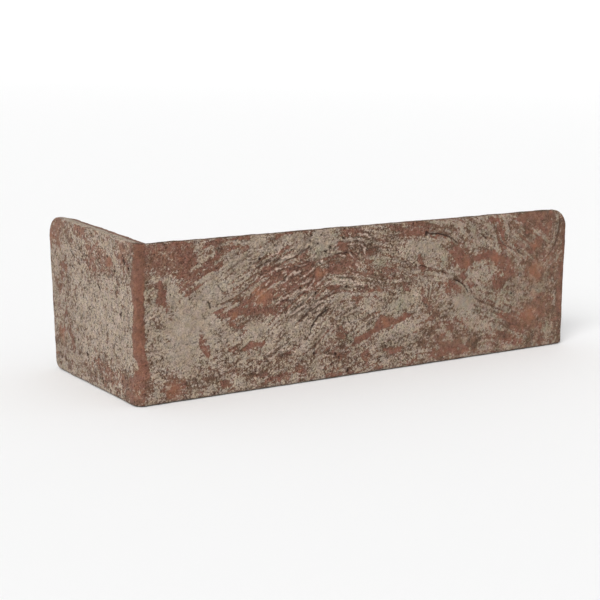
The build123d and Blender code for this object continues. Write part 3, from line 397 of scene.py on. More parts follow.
    ("M", [(157, 48.6, 2.2), (160.6, 50, 2.4), (160, 46, 2.4)]), ("R", [(158, 48.4, 1.0), (159.6, 46.4, 0.9)]), ("B", [(161.6, 47.6, 0.8)]), ("R", [(161.6, 44, 1.4), (164, 42.6, 1.3), (166.6, 45, 1.2)]), ("O", [(162.4, 43.4, 1.0), (165, 43.6, 0.9)]), ("M", [(164, 47.6, 2.0)]), ("B", [(163.4, 45.6, 1.0)]), ("L", [(157.4, 39.4, 1.4), (156.4, 41.6, 1.0)]),
    ("R", [(163.4, 39.4, 1.0), (164.4, 36.6, 0.9)]), ("R", [(166, 34.6, 1.0), (169, 33.6, 1.0)]), ("L", [(163, 27.4, 2.4), (167, 25, 2.4)]), ("B", [(156.4, 26.4, 0.8)]), ("B", [(158.4, 24.4, 0.6)]), ("C", [(151, 25, 0.5)]),
    ("R", [(156.6, 16.8, 1.1), (158.6, 14.4, 1.0)]), ("R", [(161, 18.4, 1.0), (165, 16, 0.8)]), ("B", [(145, 15.6, 0.9), (148.4, 14, 0.9)]), ("B", [(143, 19.6, 0.5), (146.4, 19.6, 0.5)]),
    # 165 to the far end
    ("P", [(173.4, 56.2, 0.4)]), ("K", [(174, 55.4, 0.5), (176.2, 54.1, 0.6)]), ("C", [(175.4, 56.8, 0.5), (177.2, 55.8, 0.5)]), ("P", [(168, 55.4, 0.5)]), ("B", [(171.6, 58.6, 0.5)]), ("L", [(171, 52.4, 1.8), (168, 59.4, 1.2)]),
    ("M", [(165, 44.8, 1.6), (170, 45.2, 1.8), (175, 46.6, 2.6), (180, 45.6, 2.8), (185, 43.8, 3.0), (189, 42.8, 2.0)]), ("S", [(174, 46.8, 1.0), (179, 46.2, 1.5), (184, 44.6, 1.5), (186.6, 43.6, 1.0)]), ("O", [(181, 46.4, 0.9)]), ("B", [(168, 44.6, 1.2), (171.6, 45.8, 0.8)]), ("L", [(174.4, 43.3, 0.8)]), ("L", [(168, 38.6, 1.4), (172, 38.4, 1.2)]), ("L", [(174, 51, 1.0)]),
    ("M", [(184, 62, 1.6), (184, 57.4, 2.2), (184.6, 54, 1.8), (187, 50.6, 1.8)]), ("R", [(184, 58.4, 0.8), (184.4, 55.6, 0.8)]), ("C", [(184.4, 52.4, 0.5), (187.6, 50.4, 0.6), (191.4, 48.4, 0.5)]), ("R", [(179, 62.4, 1.0), (182, 61.6, 1.0)]), ("L", [(187.6, 60.4, 0.9), (188.4, 55.6, 0.9)]),
    ("R", [(196, 62, 1.4), (203, 62.4, 1.8), (210, 62, 1.8), (214, 62.6, 1.6)]), ("R", [(200, 57.6, 0.9), (204, 54.4, 0.9)]), ("R", [(205, 59, 1.2), (210, 56.6, 1.2)]), ("R", [(209.6, 53.4, 1.0), (213, 54.6, 1.4)]), ("L", [(196, 58, 0.6), (201, 54.4, 0.6)]),
    ("L", [(192, 56.6, 0.7), (198, 52.4, 0.7)]), ("L", [(203.6, 57, 0.4), (208.6, 52.4, 0.5)]), ("R", [(199, 51.4, 0.8), (196, 54.4, 0.8)]), ("R", [(215, 57.6, 1.2), (213.6, 59.6, 1.0)]), ("R", [(193, 49.6, 0.8)]),
    ("C", [(195, 47.2, 0.5), (198.4, 45, 0.5)]), ("B", [(193, 45, 0.8)]), ("B", [(197.6, 42, 0.9), (201, 40.4, 1.0)]), ("R", [(190, 38.6, 1.3), (193, 36, 1.2)]), ("M", [(183.4, 35.4, 2.4), (184.6, 32.0, 2.4), (188, 36.4, 2.4)]), ("R", [(182.6, 34.4, 1.1), (184.4, 32, 1.3)]), ("M", [(190, 40, 1.6), (194, 37, 1.6)]), ("B", [(183, 39.4, 0.9), (187, 39.4, 0.9)]),
    ("O", [(204.6, 38.6, 1.4), (206.4, 36.4, 1.8), (208.4, 34, 1.2)]), ("W", [(206, 37, 4.2)]), ("R", [(201.6, 38.4, 1.0)]), ("R", [(216.4, 43.8, 1.3), (214.6, 42, 1.1)]), ("R", [(211, 44, 1.1)]), ("B", [(212, 37, 1.2), (210.4, 32.4, 0.9)]), ("L", [(194, 33, 0.8), (196.6, 35, 0.7)]),
    ("C", [(221, 60, 0.6), (220.4, 55, 0.7), (219.6, 50.4, 0.7), (217.4, 46.6, 0.8), (215, 43.4, 0.5)]), ("L", [(219, 63, 0.6), (219, 57.6, 0.6), (218.4, 53.6, 0.5)]), ("L", [(221.4, 49.4, 0.5), (221, 43.6, 0.7), (219.6, 40.6, 0.5)]), ("G", [(219, 58, 2)]),
    ("R", [(223.6, 56, 0.8), (224, 46, 0.8)]), ("R", [(223.4, 33, 1.2), (223.6, 25.4, 1.2)]), ("L", [(219.9, 25.4, 0.6), (220.1, 18, 0.6)]), ("R", [(217.4, 37, 0.8), (216.4, 33.4, 0.9)]), ("B", [(222.4, 38.6, 0.8)]),
    ("C", [(170, 28.2, 0.5), (174.6, 25.4, 0.5), (180, 23.6, 0.6), (185, 21, 0.6), (189.4, 19.4, 0.5)]), ("B", [(175, 24.6, 0.8), (178.6, 23.6, 0.8)]), ("L", [(176, 27, 0.8)]), ("P", [(192.4, 27.6, 0.55)]), ("P", [(194.2, 27.1, 0.35)]), ("G", [(186, 27, 6)]), ("G", [(212, 27, 4)]),
    ("M", [(186, 17.6, 1.4), (191, 16.0, 2.2), (195, 13.6, 2.6), (200, 11.8, 2.0)]), ("B", [(192.4, 14.4, 1.1), (196.4, 12.2, 1.2)]), ("C", [(190, 14.4, 0.5), (196, 12, 0.5)]), ("L", [(192, 19.4, 0.6)]), ("L", [(197.6, 17, 0.7)]), ("S", [(203.2, 16.6, 1.8), (204.6, 13.8, 2.0)]), ("W", [(204, 15.4, 4.0)]), ("L", [(184, 12.6, 0.9), (189, 11, 0.7)]),
    ("S", [(211.4, 20.4, 1.4), (212, 16.6, 1.9)]), ("R", [(208, 23.4, 1.0), (215, 23.4, 1.0)]), ("B", [(209.6, 12, 1.1), (205, 10.4, 0.9)]), ("B", [(203.4, 21, 1.2)]), ("L", [(211.6, 27.2, 1.2), (206.6, 27.4, 1.0)]), ("B", [(204, 26.6, 0.5)]),
    ("M", [(185.4, 9.4, 1.6), (190, 7.4, 1.8), (195, 5.8, 1.8), (199, 4.2, 1.4)]), ("B", [(188, 7, 0.9)]), ("B", [(180.4, 8.4, 0.9), (178, 9.4, 0.6)]), ("P", [(175, 8.2, 0.4)]), ("L", [(202.6, 7.2, 1.2)]), ("G", [(203, 7, 3)]), ("G", [(216, 8, 4)]), ("B", [(219.6, 12.6, 0.9)]), ("L", [(215, 8, 1.4)]),
    ("B", [(168, 6, 1.5), (172, 4.4, 1.2)]), ("B", [(209, 3.4, 1.2), (215, 2.4, 1.0)]), ("R", [(212, 10.6, 0.8)]), ("B", [(217, 17, 0.9), (216.6, 21, 0.8)]), ("R", [(221.6, 13, 0.9), (222.4, 19, 0.9)]),
    # smaller flecks inside the bare patches, and what the wash has left of them
    ("B", [(12, 57, 1.6)]), ("B", [(9, 60, 1.1)]), ("B", [(15.4, 54, 1.3)]), ("B", [(20, 60, 0.9)]), ("B", [(6, 56.4, 0.9)]), ("B", [(24.4, 57, 1.1)]), ("L", [(8.8, 51.8, 0.45), (7.4, 54, 0.4)]), ("L", [(10.6, 50.7, 0.55), (13.2, 50.3, 0.5)]), ("L", [(5.6, 50.6, 0.45)]),
    ("R", [(64, 55.4, 0.8), (67, 56.8, 1.0), (70, 57.8, 0.7)]), ("M", [(56.6, 48.8, 1.8), (62.6, 50.2, 1.6)]), ("R", [(56, 47, 1.0), (59, 48.8, 1.0)]), ("W", [(44.6, 32.7, 1.5)]),
    ("L", [(50, 36, 0.95)]), ("L", [(46, 37, 1.0)]), ("L", [(54, 35.6, 0.85)]), ("L", [(48, 31.6, 0.8)]), ("L", [(57, 35.2, 0.8)]), ("L", [(52, 31.4, 0.8)]), ("L", [(43, 37, 1.1)]), ("L", [(63, 36, 0.8)]), ("B", [(55.4, 32.6, 0.8)]), ("B", [(49.4, 34.4, 0.8)]), ("B", [(59.4, 34.6, 0.8)]),
    ("L", [(106, 17, 0.75)]), ("L", [(112, 18.6, 0.7)]), ("L", [(121.4, 23, 0.75)]), ("B", [(116, 20.6, 0.6)]), ("W", [(121, 21.6, 1.6)]), ("L", [(109, 58.2, 0.6)]), ("L", [(112.6, 57.4, 0.6)]), ("L", [(110, 54.8, 0.5)]), ("L", [(113.8, 55.6, 0.6)]),
    ("L", [(121, 62, 0.6)]), ("L", [(124.6, 60.4, 0.6), (126.4, 60.8, 0.4)]), ("L", [(129, 62.4, 0.55)]), ("L", [(133, 61, 0.6)]), ("L", [(137, 62.6, 0.5)]), ("B", [(127.4, 62, 0.6)]),
    ("L", [(150, 7, 1.1)]), ("L", [(154, 4.6, 1.1)]), ("L", [(158, 8.8, 1.0)]), ("L", [(162, 5.2, 1.1)]), ("L", [(166, 8.4, 1.0)]), ("L", [(148.4, 10, 1.0)]), ("L", [(156, 11.4, 0.9)]), ("L", [(169.6, 6, 0.6)]), ("B", [(160, 7, 1.1)]), ("B", [(152.6, 8.8, 0.9)]),
    ("L", [(183, 34.4, 0.8)]), ("L", [(187, 36.4, 0.85)]), ("L", [(190, 33, 0.8)]), ("L", [(185, 31.4, 0.8)]), ("B", [(188, 34.2, 0.7)]), ("W", [(165, 44, 1.6)]), ("W", [(182.6, 44.6, 2.2)]), ("M", [(203.4, 47.4, 2.0), (208, 50.4, 2.2)]), ("W", [(206, 49, 1.8)]),
    ("R", [(222.2, 36, 0.8), (222.6, 28, 1.0), (222.2, 20, 0.7)]), ("L", [(219.6, 46, 0.35), (219.9, 38, 0.4), (219.6, 28, 0.4), (219.4, 19, 0.35)]), ("G", [(217, 7, 3.2)]), ("G", [(218, 12, 2.4)]),
    # the return
    ("H", [(-74, 65.6, 1.5), (-67, 66.6, 1.3)]), ("B", [(-62.6, 64.8, 0.7)]), ("B", [(-46.6, 66, 0.8), (-41.4, 66, 0.9)]), ("R", [(-37.4, 65.4, 0.8), (-34.6, 64.2, 0.7)]), ("L", [(-40.6, 63, 0.8)]), ("L", [(-33, 62.8, 0.7), (-30.4, 60.8, 0.7)]), ("L", [(-22.6, 62.6, 0.9), (-21.6, 60.4, 0.8)]),
    ("L", [(-61, 62.8, 0.9), (-57.4, 62.2, 1.0), (-55.6, 60, 0.8)]), ("L", [(-65.4, 59.4, 0.9), (-63.6, 56, 1.0)]),
    ("L", [(-4.6, 57.2, 0.5), (-2.8, 59.6, 0.8), (-1.0, 61.8, 0.7)]), ("R", [(-13.6, 62.4, 1.7), (-10.6, 61.8, 1.1)]), ("R", [(-9, 65, 0.9), (-3, 64.8, 0.9)]), ("M", [(-16, 64, 2.4), (-8, 63, 2.8), (-4, 62, 2.2)]), ("M", [(-17, 59, 2.2), (-9, 58.6, 2.4)]), ("L", [(-6.6, 60, 0.6), (-8.4, 57.4, 0.6)]),
    ("M", [(-41, 57, 3.0), (-38, 50, 2.4)]), ("M", [(-33, 58, 2.4), (-26, 57, 2.4)]), ("M", [(-30, 52, 2.0), (-23, 52.4, 2.6)]), ("M", [(-76, 60, 3.0), (-72, 55, 2.4)]), ("M", [(-67, 47, 2.2), (-70, 38, 2.0)]),
    ("M", [(-61, 24, 1.6), (-58, 13, 2.0)]), ("M", [(-36, 12, 2.6), (-26, 9, 3.0), (-18, 7, 2.6)]), ("M", [(-12, 8, 2.6), (-6, 9, 2.4)]), ("B", [(-33, 9, 1.3)]), ("B", [(-26, 13.4, 1.2), (-22, 8.6, 1.2)]), ("B", [(-15, 14, 1.2)]), ("B", [(-12, 11, 1.3)]),
    ("L", [(-29, 8.4, 1.1)]), ("L", [(-20, 10.4, 0.9)]), ("L", [(-25, 3.6, 0.9)]), ("L", [(-14.6, 6, 0.9)]), ("B", [(-20.6, 15.4, 0.9)]), ("B", [(-30, 15.4, 0.8)]), ("P", [(-11.5, 56.6, 0.95)]), ("P", [(-11, 55.8, 0.6)]), ("P", [(-7.4, 54.1, 0.75), (-6.8, 54, 0.5)]),
    ("R", [(-17, 57.4, 0.9), (-13.6, 58, 1.1), (-9.4, 57.6, 1.0)]), ("R", [(-8.6, 55.6, 1.3), (-5.4, 55.4, 1.2)]), ("R", [(-26.4, 54, 1.0)]), ("H", [(-23.6, 54.2, 1.9), (-22.2, 53.6, 1.6)]), ("W", [(-23.4, 54, 2.0)]), ("R", [(-21, 56, 0.8)]),
    ("C", [(-28, 49.2, 0.5), (-25.4, 48.4, 0.6), (-22.4, 48.9, 0.5), (-20, 50.2, 0.4)]), ("B", [(-27.4, 50.6, 0.5)]), ("B", [(-18.6, 45, 0.7), (-17, 43.6, 1.0), (-15.6, 42.6, 0.6)]), ("P", [(-14.6, 34.4, 0.7), (-13.8, 35.4, 0.3)]), ("B", [(-5.6, 42.4, 0.9), (-4.4, 41, 0.7)]),
    ("B", [(-31.4, 57, 0.5), (-30.6, 51.6, 0.5)]), ("B", [(-42.6, 58.6, 0.9), (-42.4, 55, 1.0)]), ("R", [(-41, 52.6, 1.0), (-40.8, 48.4, 1.1)]), ("B", [(-43.6, 51, 0.9)]), ("B", [(-39.4, 46, 0.7), (-36.4, 45.8, 0.6)]), ("P", [(-33.6, 43.2, 0.5), (-32.4, 42, 0.6)]), ("P", [(-35.6, 44.2, 0.35)]),
    ("R", [(-38, 57.6, 0.8), (-34.6, 59.4, 0.9)]), ("R", [(-33.4, 55.4, 0.7)]), ("R", [(-36, 50.4, 0.7), (-33.6, 48.6, 0.6)]), ("R", [(-28, 65, 0.7), (-23.4, 64.6, 0.6)]), ("B", [(-37, 65.6, 0.7), (-31, 65, 0.6)]),
    ("R", [(-52.6, 64, 1.2), (-49.4, 62.8, 1.4)]), ("H", [(-55, 64.4, 1.2), (-48, 64.6, 1.4)]), ("R", [(-53.4, 60.9, 0.7), (-48.6, 61, 0.7)]), ("R", [(-46.4, 62.6, 0.9)]), ("P", [(-50.8, 56, 0.45)]), ("P", [(-52, 57.4, 0.35)]), ("B", [(-57.4, 58.8, 0.8), (-55.4, 58, 0.5)]), ("B", [(-48, 58, 0.5)]),
    ("H", [(-74, 62.4, 1.4), (-69, 64, 1.2)]), ("B", [(-66, 61.4, 0.8), (-60, 62.8, 0.7)]), ("H", [(-79, 60, 1.2), (-78.8, 54.6, 1.5)]), ("R", [(-76, 57, 1.4), (-72.4, 57.4, 1.1)]), ("R", [(-70.4, 54.4, 1.1), (-69.6, 52.6, 0.7)]), ("W", [(-79, 57, 1.8)]), ("B", [(-67, 57.4, 0.8)]),
    ("R", [(-66.6, 46.4, 1.5), (-65.2, 44.6, 1.1)]), ("R", [(-64.6, 48, 0.8)]), ("B", [(-71.4, 37.4, 1.0), (-69, 36, 0.9), (-67, 34.4, 0.7)]), ("B", [(-73, 39.6, 0.6)]), ("B", [(-59.4, 44.4, 0.8), (-57.4, 42.6, 0.6)]),
    ("B", [(-59.8, 36.4, 0.6), (-58.4, 37.8, 0.6), (-56.2, 37, 0.6), (-56.4, 35, 0.6), (-58.6, 34.6, 0.6)]), ("R", [(-64.4, 28.6, 1.1), (-63.2, 26.4, 1.0)]), ("B", [(-61.4, 22, 0.9), (-60.2, 18, 0.9), (-58.8, 15.4, 1.0), (-56.4, 12.4, 0.8)]), ("R", [(-68, 17.4, 0.8), (-66, 20, 0.7)]), ("R", [(-70.6, 18.4, 0.9)]),
    ("W", [(-68.6, 16, 3.2)]), ("R", [(-73.4, 8, 0.9)]), ("R", [(-60.4, 19.6, 0.7)]), ("P", [(-45.6, 13, 0.5), (-44.2, 12.6, 0.4)]), ("B", [(-43, 12, 0.6)]), ("B", [(-44.6, 7, 1.3), (-42.6, 6, 1.0)]), ("B", [(-35.4, 16.4, 0.7), (-33.6, 13.4, 0.8)]), ("P", [(-34.2, 13.4, 0.45)]),
    ("B", [(-40.4, 4, 0.9), (-36.4, 3.4, 0.9)]), ("B", [(-31, 11.2, 0.7), (-27, 10.6, 0.8), (-22.6, 11.2, 0.6), (-21, 12.4, 0.5)]), ("R", [(-17, 11.8, 1.0), (-14.8, 11.6, 0.9)]), ("O", [(-17.4, 3, 0.8), (-15.4, 3.2, 0.6)]), ("R", [(-24, 6.4, 0.9), (-21.6, 5, 0.8)]), ("R", [(-28, 3, 0.8)]),
    ("B", [(-30.6, 6.4, 0.9)]), ("B", [(-22.2, 17, 0.6), (-22, 13.4, 0.7)]), ("B", [(-11.6, 4.4, 1.0), (-13.4, 8.6, 0.7)]), ("B", [(-8.6, 9, 0.8)]), ("B", [(-4.6, 18.4, 1.0), (-4, 15.4, 1.2)]), ("B", [(-8, 16, 0.6)]), ("R", [(-5, 10.4, 1.4), (-2, 9.4, 1.4)]), ("R", [(-8, 4, 1.3), (-4, 3.4, 1.4)]), ("L", [(-3.4, 12.4, 0.7)]),
    ("L", [(-6, 6.8, 0.5)]), ("P", [(-38, 20.4, 0.4)]), ("P", [(-42.4, 20.6, 0.4)]), ("P", [(-35, 38.4, 0.4)]), ("P", [(-36.4, 40, 0.4)]), ("P", [(-45.2, 38, 0.4)]), ("P", [(-46.4, 40.2, 0.35)]), ("P", [(-39.6, 39, 0.3)]), ("C", [(-55, 30.2, 0.35), (-52.6, 30, 0.35)]), ("P", [(-20, 30.4, 0.35)]), ("P", [(-28.4, 32, 0.3)]),
    ("P", [(-38.6, 24.6, 0.35)]), ("P", [(-34.4, 28.4, 0.3)]), ("B", [(-50, 5, 0.8)]), ("B", [(-63, 6, 0.8)]), ("G", [(-70, 2.4, 2)]), ("R", [(-20, 61, 0.8)]), ("B", [(-24, 60, 0.6)]),
]
# how much lighter or darker the faces are at places
TONES = [
    (-66, 10, 16, 14, -0.11), (-66, 36, 13, 18, -0.07), (165, 26, 9, 6, -0.10), (172, 55, 9, 6, -0.06), (0, 57, 5, 10, -0.17), (1, 25, 4, 30, -0.03), (141, 53, 10, 6, -0.03),
    (214, 7, 9, 7, -0.06), (95, 12, 8, 8, -0.07), (-35, 32, 18, 12, 0.02), (205, 28, 14, 6, -0.04), (124, 14, 18, 9, -0.05), (122, 28, 14, 6, -0.03), (-40, 62, 38, 6, 0.08), (205, 30, 22, 40, -0.015),
    (62, 57, 10, 6, 0.03), (24, 28, 12, 12, 0.02), (205, 44, 16, 12, -0.03),
    (-71, 46, 3, 9, -0.05), (-60, 40, 2.5, 9, -0.04), (-48, 28, 9, 10, 0.02), (-20, 30, 6, 10, 0.02), (-72, 62, 6, 4, 0.05),
    (0, 55, 3, 6, -0.06), (6.5, 44, 3, 9, 0.07), (6.5, 63, 3, 4, -0.09), (-6, 16, 4, 7, 0.06), (-18, 60, 14, 6, 0.03), (-20, 6, 10, 5, 0.05),
    (-76, 45, 6, 5, 0.05), (-72, 18, 7, 6, 0.04),
    (58, 40, 3.4, 3, 0.05), (210, 15, 4, 4, 0.05), (86, 45.6, 3, 1.6, 0.05),
    (111, 57, 5, 4, 0.08), (153, 25, 5, 4, 0.04), (206, 48, 4, 4, 0.03), (65, 16, 6, 4, 0.04), (110, 36, 60, 24, 0.008),
    (110, 59, 12, 7, 0.05), (70, 57, 12, 7, 0.05), (210, 57, 12, 8, 0.05), (190, 58, 11, 7, 0.05), (70, 45, 12, 7, 0.04), (50, 46, 10, 6, 0.04), (210, 44, 12, 6, 0.03),
    (0, 26, 3, 7, -0.03), (-2.5, 49, 2.5, 6, 0.07), (2, 38, 3, 6, -0.05), (-3, 10, 4, 4, -0.05), (2, 8, 4, 3, 0.04),
]
REDNESS = {"R": 0.60, "S": 0.64, "M": 0.58, "H": 0.80, "O": 0.95, "B": 0.22}
LESS = {"R": 2.2, "S": 2.8, "M": 1.0, "H": 1.3, "O": 2.4, "B": 1.8, "L": -1.6, "F": -1.2, "C": 0.6, "K": 0.6, "P": 0.5}
hue = 0.34 + 0.13 * n4 + 0.07 * n2
hue_weight = np.full_like(SS, 0.5)
hue = hue * hue_weight
glow, green, groove = (np.zeros_like(SS) for _ in range(3))
# masks of painted shade in the cracks, pits and creases, and of a painted highlight on the crests of the fine ridges
crack_pit_shade, crease_shade, ridges = (np.full_like(SS, -2.0) for _ in range(3))
for kind_, pts_ in MARKS:
    if kind_ in "KPCF":
        pts_ = [(x, z, r * {"P": 0.95, "K": 0.5, "C": 0.5, "F": 0.6}[kind_]) for x, z, r in pts_]
    m = stroke(
        pts_,
        soft=1.0 if kind_ in "WG" else 0.15,
        warp=0.22 if kind_ in "KPCF" else 0.8,
        inside={"K": crack_pit_shade, "P": crack_pit_shade, "C": crease_shade, "F": ridges}.get(kind_),
    )
    need -= LESS.get(kind_, 0.0) * m * (1.0 if kind_ == "S" else (1.1 - 0.36 * grain) * (1.1 - 0.4 * along_run))
    if kind_ == "S":
        grain *= 1 - 0.5 * m
    if kind_ in REDNESS:
        hue += 1.4 * m * REDNESS[kind_]
        hue_weight += 1.4 * m
    elif kind_ == "W":
        glow = np.maximum(glow, m)
    elif kind_ == "G":
        green = np.maximum(green, m)
    elif kind_ in "KP":
        groove = np.maximum(groove, (0.55 if kind_ == "K" else 0.7) * m)
    elif kind_ == "C":
        groove = np.maximum(groove, 0.35 * m)
    elif kind_ == "F":
        groove -= 0.1 * m
hue = np.clip(hue / hue_weight, 0, 1)

# fine creases that follow the streaks
CREASED = [
    (70, 50, 28, 14, 1.0), (82, 36, 18, 11, 1.0), (108, 56, 14, 8, 0.8), (40, 56, 12, 8, 0.6), (88, 24, 8, 8, 0.5),
    (66, 16, 12, 6, 0.5), (205, 54, 14, 10, 0.5), (182, 22, 14, 5, 0.5), (120, 48, 10, 6, 0.5), (150, 60, 12, 4, 0.5),
    (160, 38, 8, 5, 0.4), (174, 56, 9, 6, 0.5), (190, 10, 14, 6, 0.35), (219, 52, 4, 12, 0.6), (-28, 50, 14, 10, 0.3), (-30, 9, 18, 6, 0.35),
    (98, 12, 9, 9, 0.6), (72, 44, 20, 12, 1.0), (60, 56, 16, 7, 0.9), (-58, 18, 6, 8, 0.4), (72, 12, 26, 9, 0.5), (30, 10, 18, 7, 0.35), (36, 54, 12, 10, 0.5), (130, 44, 22, 10, 0.4), (104, 32, 14, 10, 0.5),
    (140, 12, 18, 8, 0.3), (208, 44, 12, 10, 0.3), (190, 34, 10, 8, 0.3), (-70, 50, 12, 12, 0.25),
]
creased = np.zeros_like(SS)
for x, z, rx, rz, k in CREASED:
    creased = np.maximum(creased, k * spot(x, z, rx, rz))
creased *= ramp(n3 + 0.6 * n2, -0.9, 0.5)
creases = np.exp(-((vein_run / 0.4) ** 2)) * creased
groove = np.maximum(groove, 0.25 * creases)
need -= creased * (0.5 * creases + 0.45)
grain *= 1 - 0.45 * creased

# the arris has lost its wash: z, how far on the return, how far on the stretcher
BARE = np.array([
    (-2, 6, 4), (3, 6, 3.6), (7, 4.6, 4.6), (10, 4.4, 5.6), (12, 2.4, 5.8), (15, 0.4, 5.4), (18, 0.4, 4.6), (20, 1.8, 4.2),
    (22, 3.8, 3.8), (25, 3.6, 3.5), (30, 2.8, 3.2), (35, 2.4, 3.0), (40, 2.4, 3.0), (43, 3.0, 3.0), (46, 4.4, 3.3),
    (50, 5.0, 3.4), (53, 4.6, 3.5), (56, 4.0, 3.6), (60, 2.0, 3.4), (63, 0.6, 3.0), (67, 0.2, 2.4),
])
grain *= (1 - 0.6 * glow) * (1 + 0.14 * spot(105, 33, 50, 50)) * (1 - 0.25 * spot(23, 31, 14, 15))
# a little wash is left inside the bare patches too
need = np.where(need < -0.9, -0.9 + 0.55 * (need + 0.9), need)
edge_a = -np.interp(WW, BARE[:, 0], BARE[:, 1]) * 0.9 + 0.55 * warp_s
edge_b = np.interp(WW, BARE[:, 0], BARE[:, 2]) * 0.86 + 0.35 * warp_w
bare = ramp(SS - edge_a, -0.5, 0.5) * (1 - ramp(SS - edge_b, -0.6, 0.6))
bare *= 0.4 + 0.6 * ramp(WW + 2 * n3, 8, 14)
need = need * (1 - 0.75 * bare) - 2.4 * bare
# places that have kept more of the wash
KEPT = [
    (150, 7, 1.8, 1.1, 1.6), (154.5, 4.4, 1.6, 1.0, 1.5), (158, 9, 2.0, 1.1, 1.6), (162.4, 5, 1.6, 1.1, 1.5), (166, 8.6, 1.6, 1.0, 1.4),
    (147.6, 10.4, 1.8, 0.9, 1.4), (156, 12, 1.8, 0.9, 1.2), (169.6, 5, 1.3, 1.1, 1.3), (45, 37, 2.4, 1.1, 1.6), (50, 35.6, 2.0, 1.0, 1.5),
    (42, 36.4, 2.2, 1.0, 1.5), (54, 36, 1.5, 0.9, 1.3), (48, 32.2, 1.5, 0.9, 1.2), (57, 34, 1.5, 0.9, 1.2), (8, 53, 1.1, 1.9, 1.3),
    (11, 60.5, 1.7, 0.9, 0.9), (16, 57, 1.5, 1.0, 1.0), (21, 62, 1.5, 0.9, 0.8), (13, 54.6, 1.3, 1.5, 1.2), (5.6, 59, 1.1, 1.3, 0.8),
    (121, 62, 2.0, 0.8, 1.4), (125.5, 60.4, 2.2, 0.8, 1.4), (130, 62.6, 2.2, 0.7, 1.3), (134, 61, 1.8, 0.8, 1.2), (183, 35, 1.5, 0.9, 1.2),
    (187, 37, 1.7, 0.9, 1.2), (189.6, 33, 1.3, 0.9, 1.2), (185, 32, 1.3, 0.8, 1.1), (108, 17.6, 1.3, 0.6, 0.9), (118, 21.4, 1.5, 0.7, 0.9),
    (126, 23, 1.7, 0.6, 0.9), (112, 60, 9, 4.5, 0.5),
    (-6.5, 17, 3, 5, 1.2), (-6.5, 61, 4, 4, 0.9), (-7, 56, 3, 3, 0.6), (6.5, 42, 2.5, 9, 1.0), (-14, 64, 6, 2.5, 0.8),
    (153, 25, 5, 4.5, 0.9), (23, 31, 14, 15, 0.5), (217, 8, 5, 5, 0.7), (-20, 57, 5, 6, 0.4), (-22, 13, 8, 4, 0.5), (-27, 61, 12, 4, 0.4), (6, 18, 2.5, 3, 0.6), (-76, 45, 5, 5, 0.5),
]
for x, z, rx, rz, k in KEPT:
    need += k * spot(x, z, rx, rz) * (1 - bare)
smooth = bare * (0.45 * ramp(WW + 2 * n3, 6, 12) + 0.55 * ramp(WW + 2 * n3, 18, 25))
hue += (0.58 + 0.05 * n4 - hue) * 0.85 * bare

# over the edges the wash ends; the beds and ends are plain clay with a little of it
end_line = SHORT - FLAT - END_LEAN * (1 - np.clip(WW / (HEIGHT + RISE), 0, 1))
away = np.maximum.reduce([-WW, WW - HEIGHT - RISE * header * ramp(-SS, 10, 80), SS - (LONG - FLAT), -SS - end_line])
above = WW - HEIGHT - RISE * header * ramp(-SS, 10, 80)
need -= 2.6 * ramp(away - 1.8 * header * (above > 0) + 0.6 * n3 + 0.5 * n2, 3.4, 7.0)
need -= 2.6 * ramp(np.maximum((1 - header) * above, SS - (LONG - FLAT)) + 0.3 * n3 + 0.25 * n2, 0.1, 1.6)
need += 1.0 * header * ramp(above, -1.5, 0.5) * (1 - ramp(away, 5.0, 7.0))
plain = ramp(away - 1.5 * header * (above > 0), 4.0, 7.5)
cover = 1 / (1 + np.exp(-need / 0.5))
hue = hue * (1 - 0.6 * plain) + 0.3 * 0.6 * plain

# painted shade along the outline, where the rounded edges turn away from the light: darker along the top and the foot
# and towards both ends
rim_painted_shade = ramp(np.abs(WW - HEIGHT / 2 - 0.2), HEIGHT / 2 - 1.5, HEIGHT / 2 + 0.6)
rim_painted_shade *= (1 - 0.8 * header * (above > -5)) * (1 - ramp(away, 1.5, 4.0))
foot_painted_shade = 1 - ramp(WW + 0.5 * n2, 0.2, 1.6)
ends_painted_shade = np.maximum(ramp(SS, LONG - 5.6, LONG - 2.6) * (1 - 0.8 * ramp(SS, LONG, LONG + 4)), 0.6 * ramp(-SS - end_line, -2.2, 0.6))
shade = np.clip(0.35 * rim_painted_shade + 0.5 * foot_painted_shade + 0.45 * ends_painted_shade, 0, 0.8) * (1 - 0.6 * plain)
tone = 0.985 + 0.03 * n3 + 0.025 * n4 + (0.035 * n1 + 0.085 * n0) * grain - 0.30 * shade
# painted shade: the stretcher's top bed strip, which faces up into the light, is darkened
tone -= 0.18 * (1 - header) * ramp(above, -0.6, 0.4) * (1 - ramp(above, 1.8, 4.0))
# painted highlight along the return's top bed strip; the whole return is also made a little lighter
tone += 0.12 * header * ramp(above, -0.6, 0.8) + 0.025 * header
tone += smooth * (0.045 * band(1.0, 0.5, 7.0, 90.0) + 0.035 * n2 + 0.03 * n3)
far_end = ramp(SS, 110, 190)
for x, z, rx, rz, k in TONES:
    tone += k * spot(x, z, rx, rz)
grain *= 1 - 0.75 * smooth
# where the wash is thin and lets the clay through
THIN = [
    (210, 30, 22, 40, 0.75), (160, 8, 20, 8, 0.6), (185, 8, 16, 8, 0.5), (205, 48, 10, 10, 0.3), (8, 56, 10, 10, 0.4),
    (100, 48, 12, 8, 0.25), (-70, 60, 10, 7, 0.4), (-68, 12, 14, 12, 0.25), (8, 46, 5, 6, 0.3), (-8, 62, 9, 5, 0.4), (150, 18, 10, 7, 0.3),
]
THIN += [(-72, 46, 5, 14, 0.45), (-70, 60, 9, 5, 0.5), (-62, 34, 5, 12, 0.3), (-30, 56, 9, 7, 0.3), (72, 47, 20, 11, 0.3), (102, 50, 11, 9, 0.4), (-10, 62, 8, 5, 0.4), (150, 25, 12, 10, 0.3), (132, 44, 14, 10, 0.2)]
thin = np.zeros_like(SS)
for x, z, rx, rz, k in THIN:
    thin = np.maximum(thin, k * spot(x, z, rx, rz))
thin = np.clip(np.maximum(thin, 0.14) * (1 + 0.25 * n3 + 0.2 * n2), 0, 1)

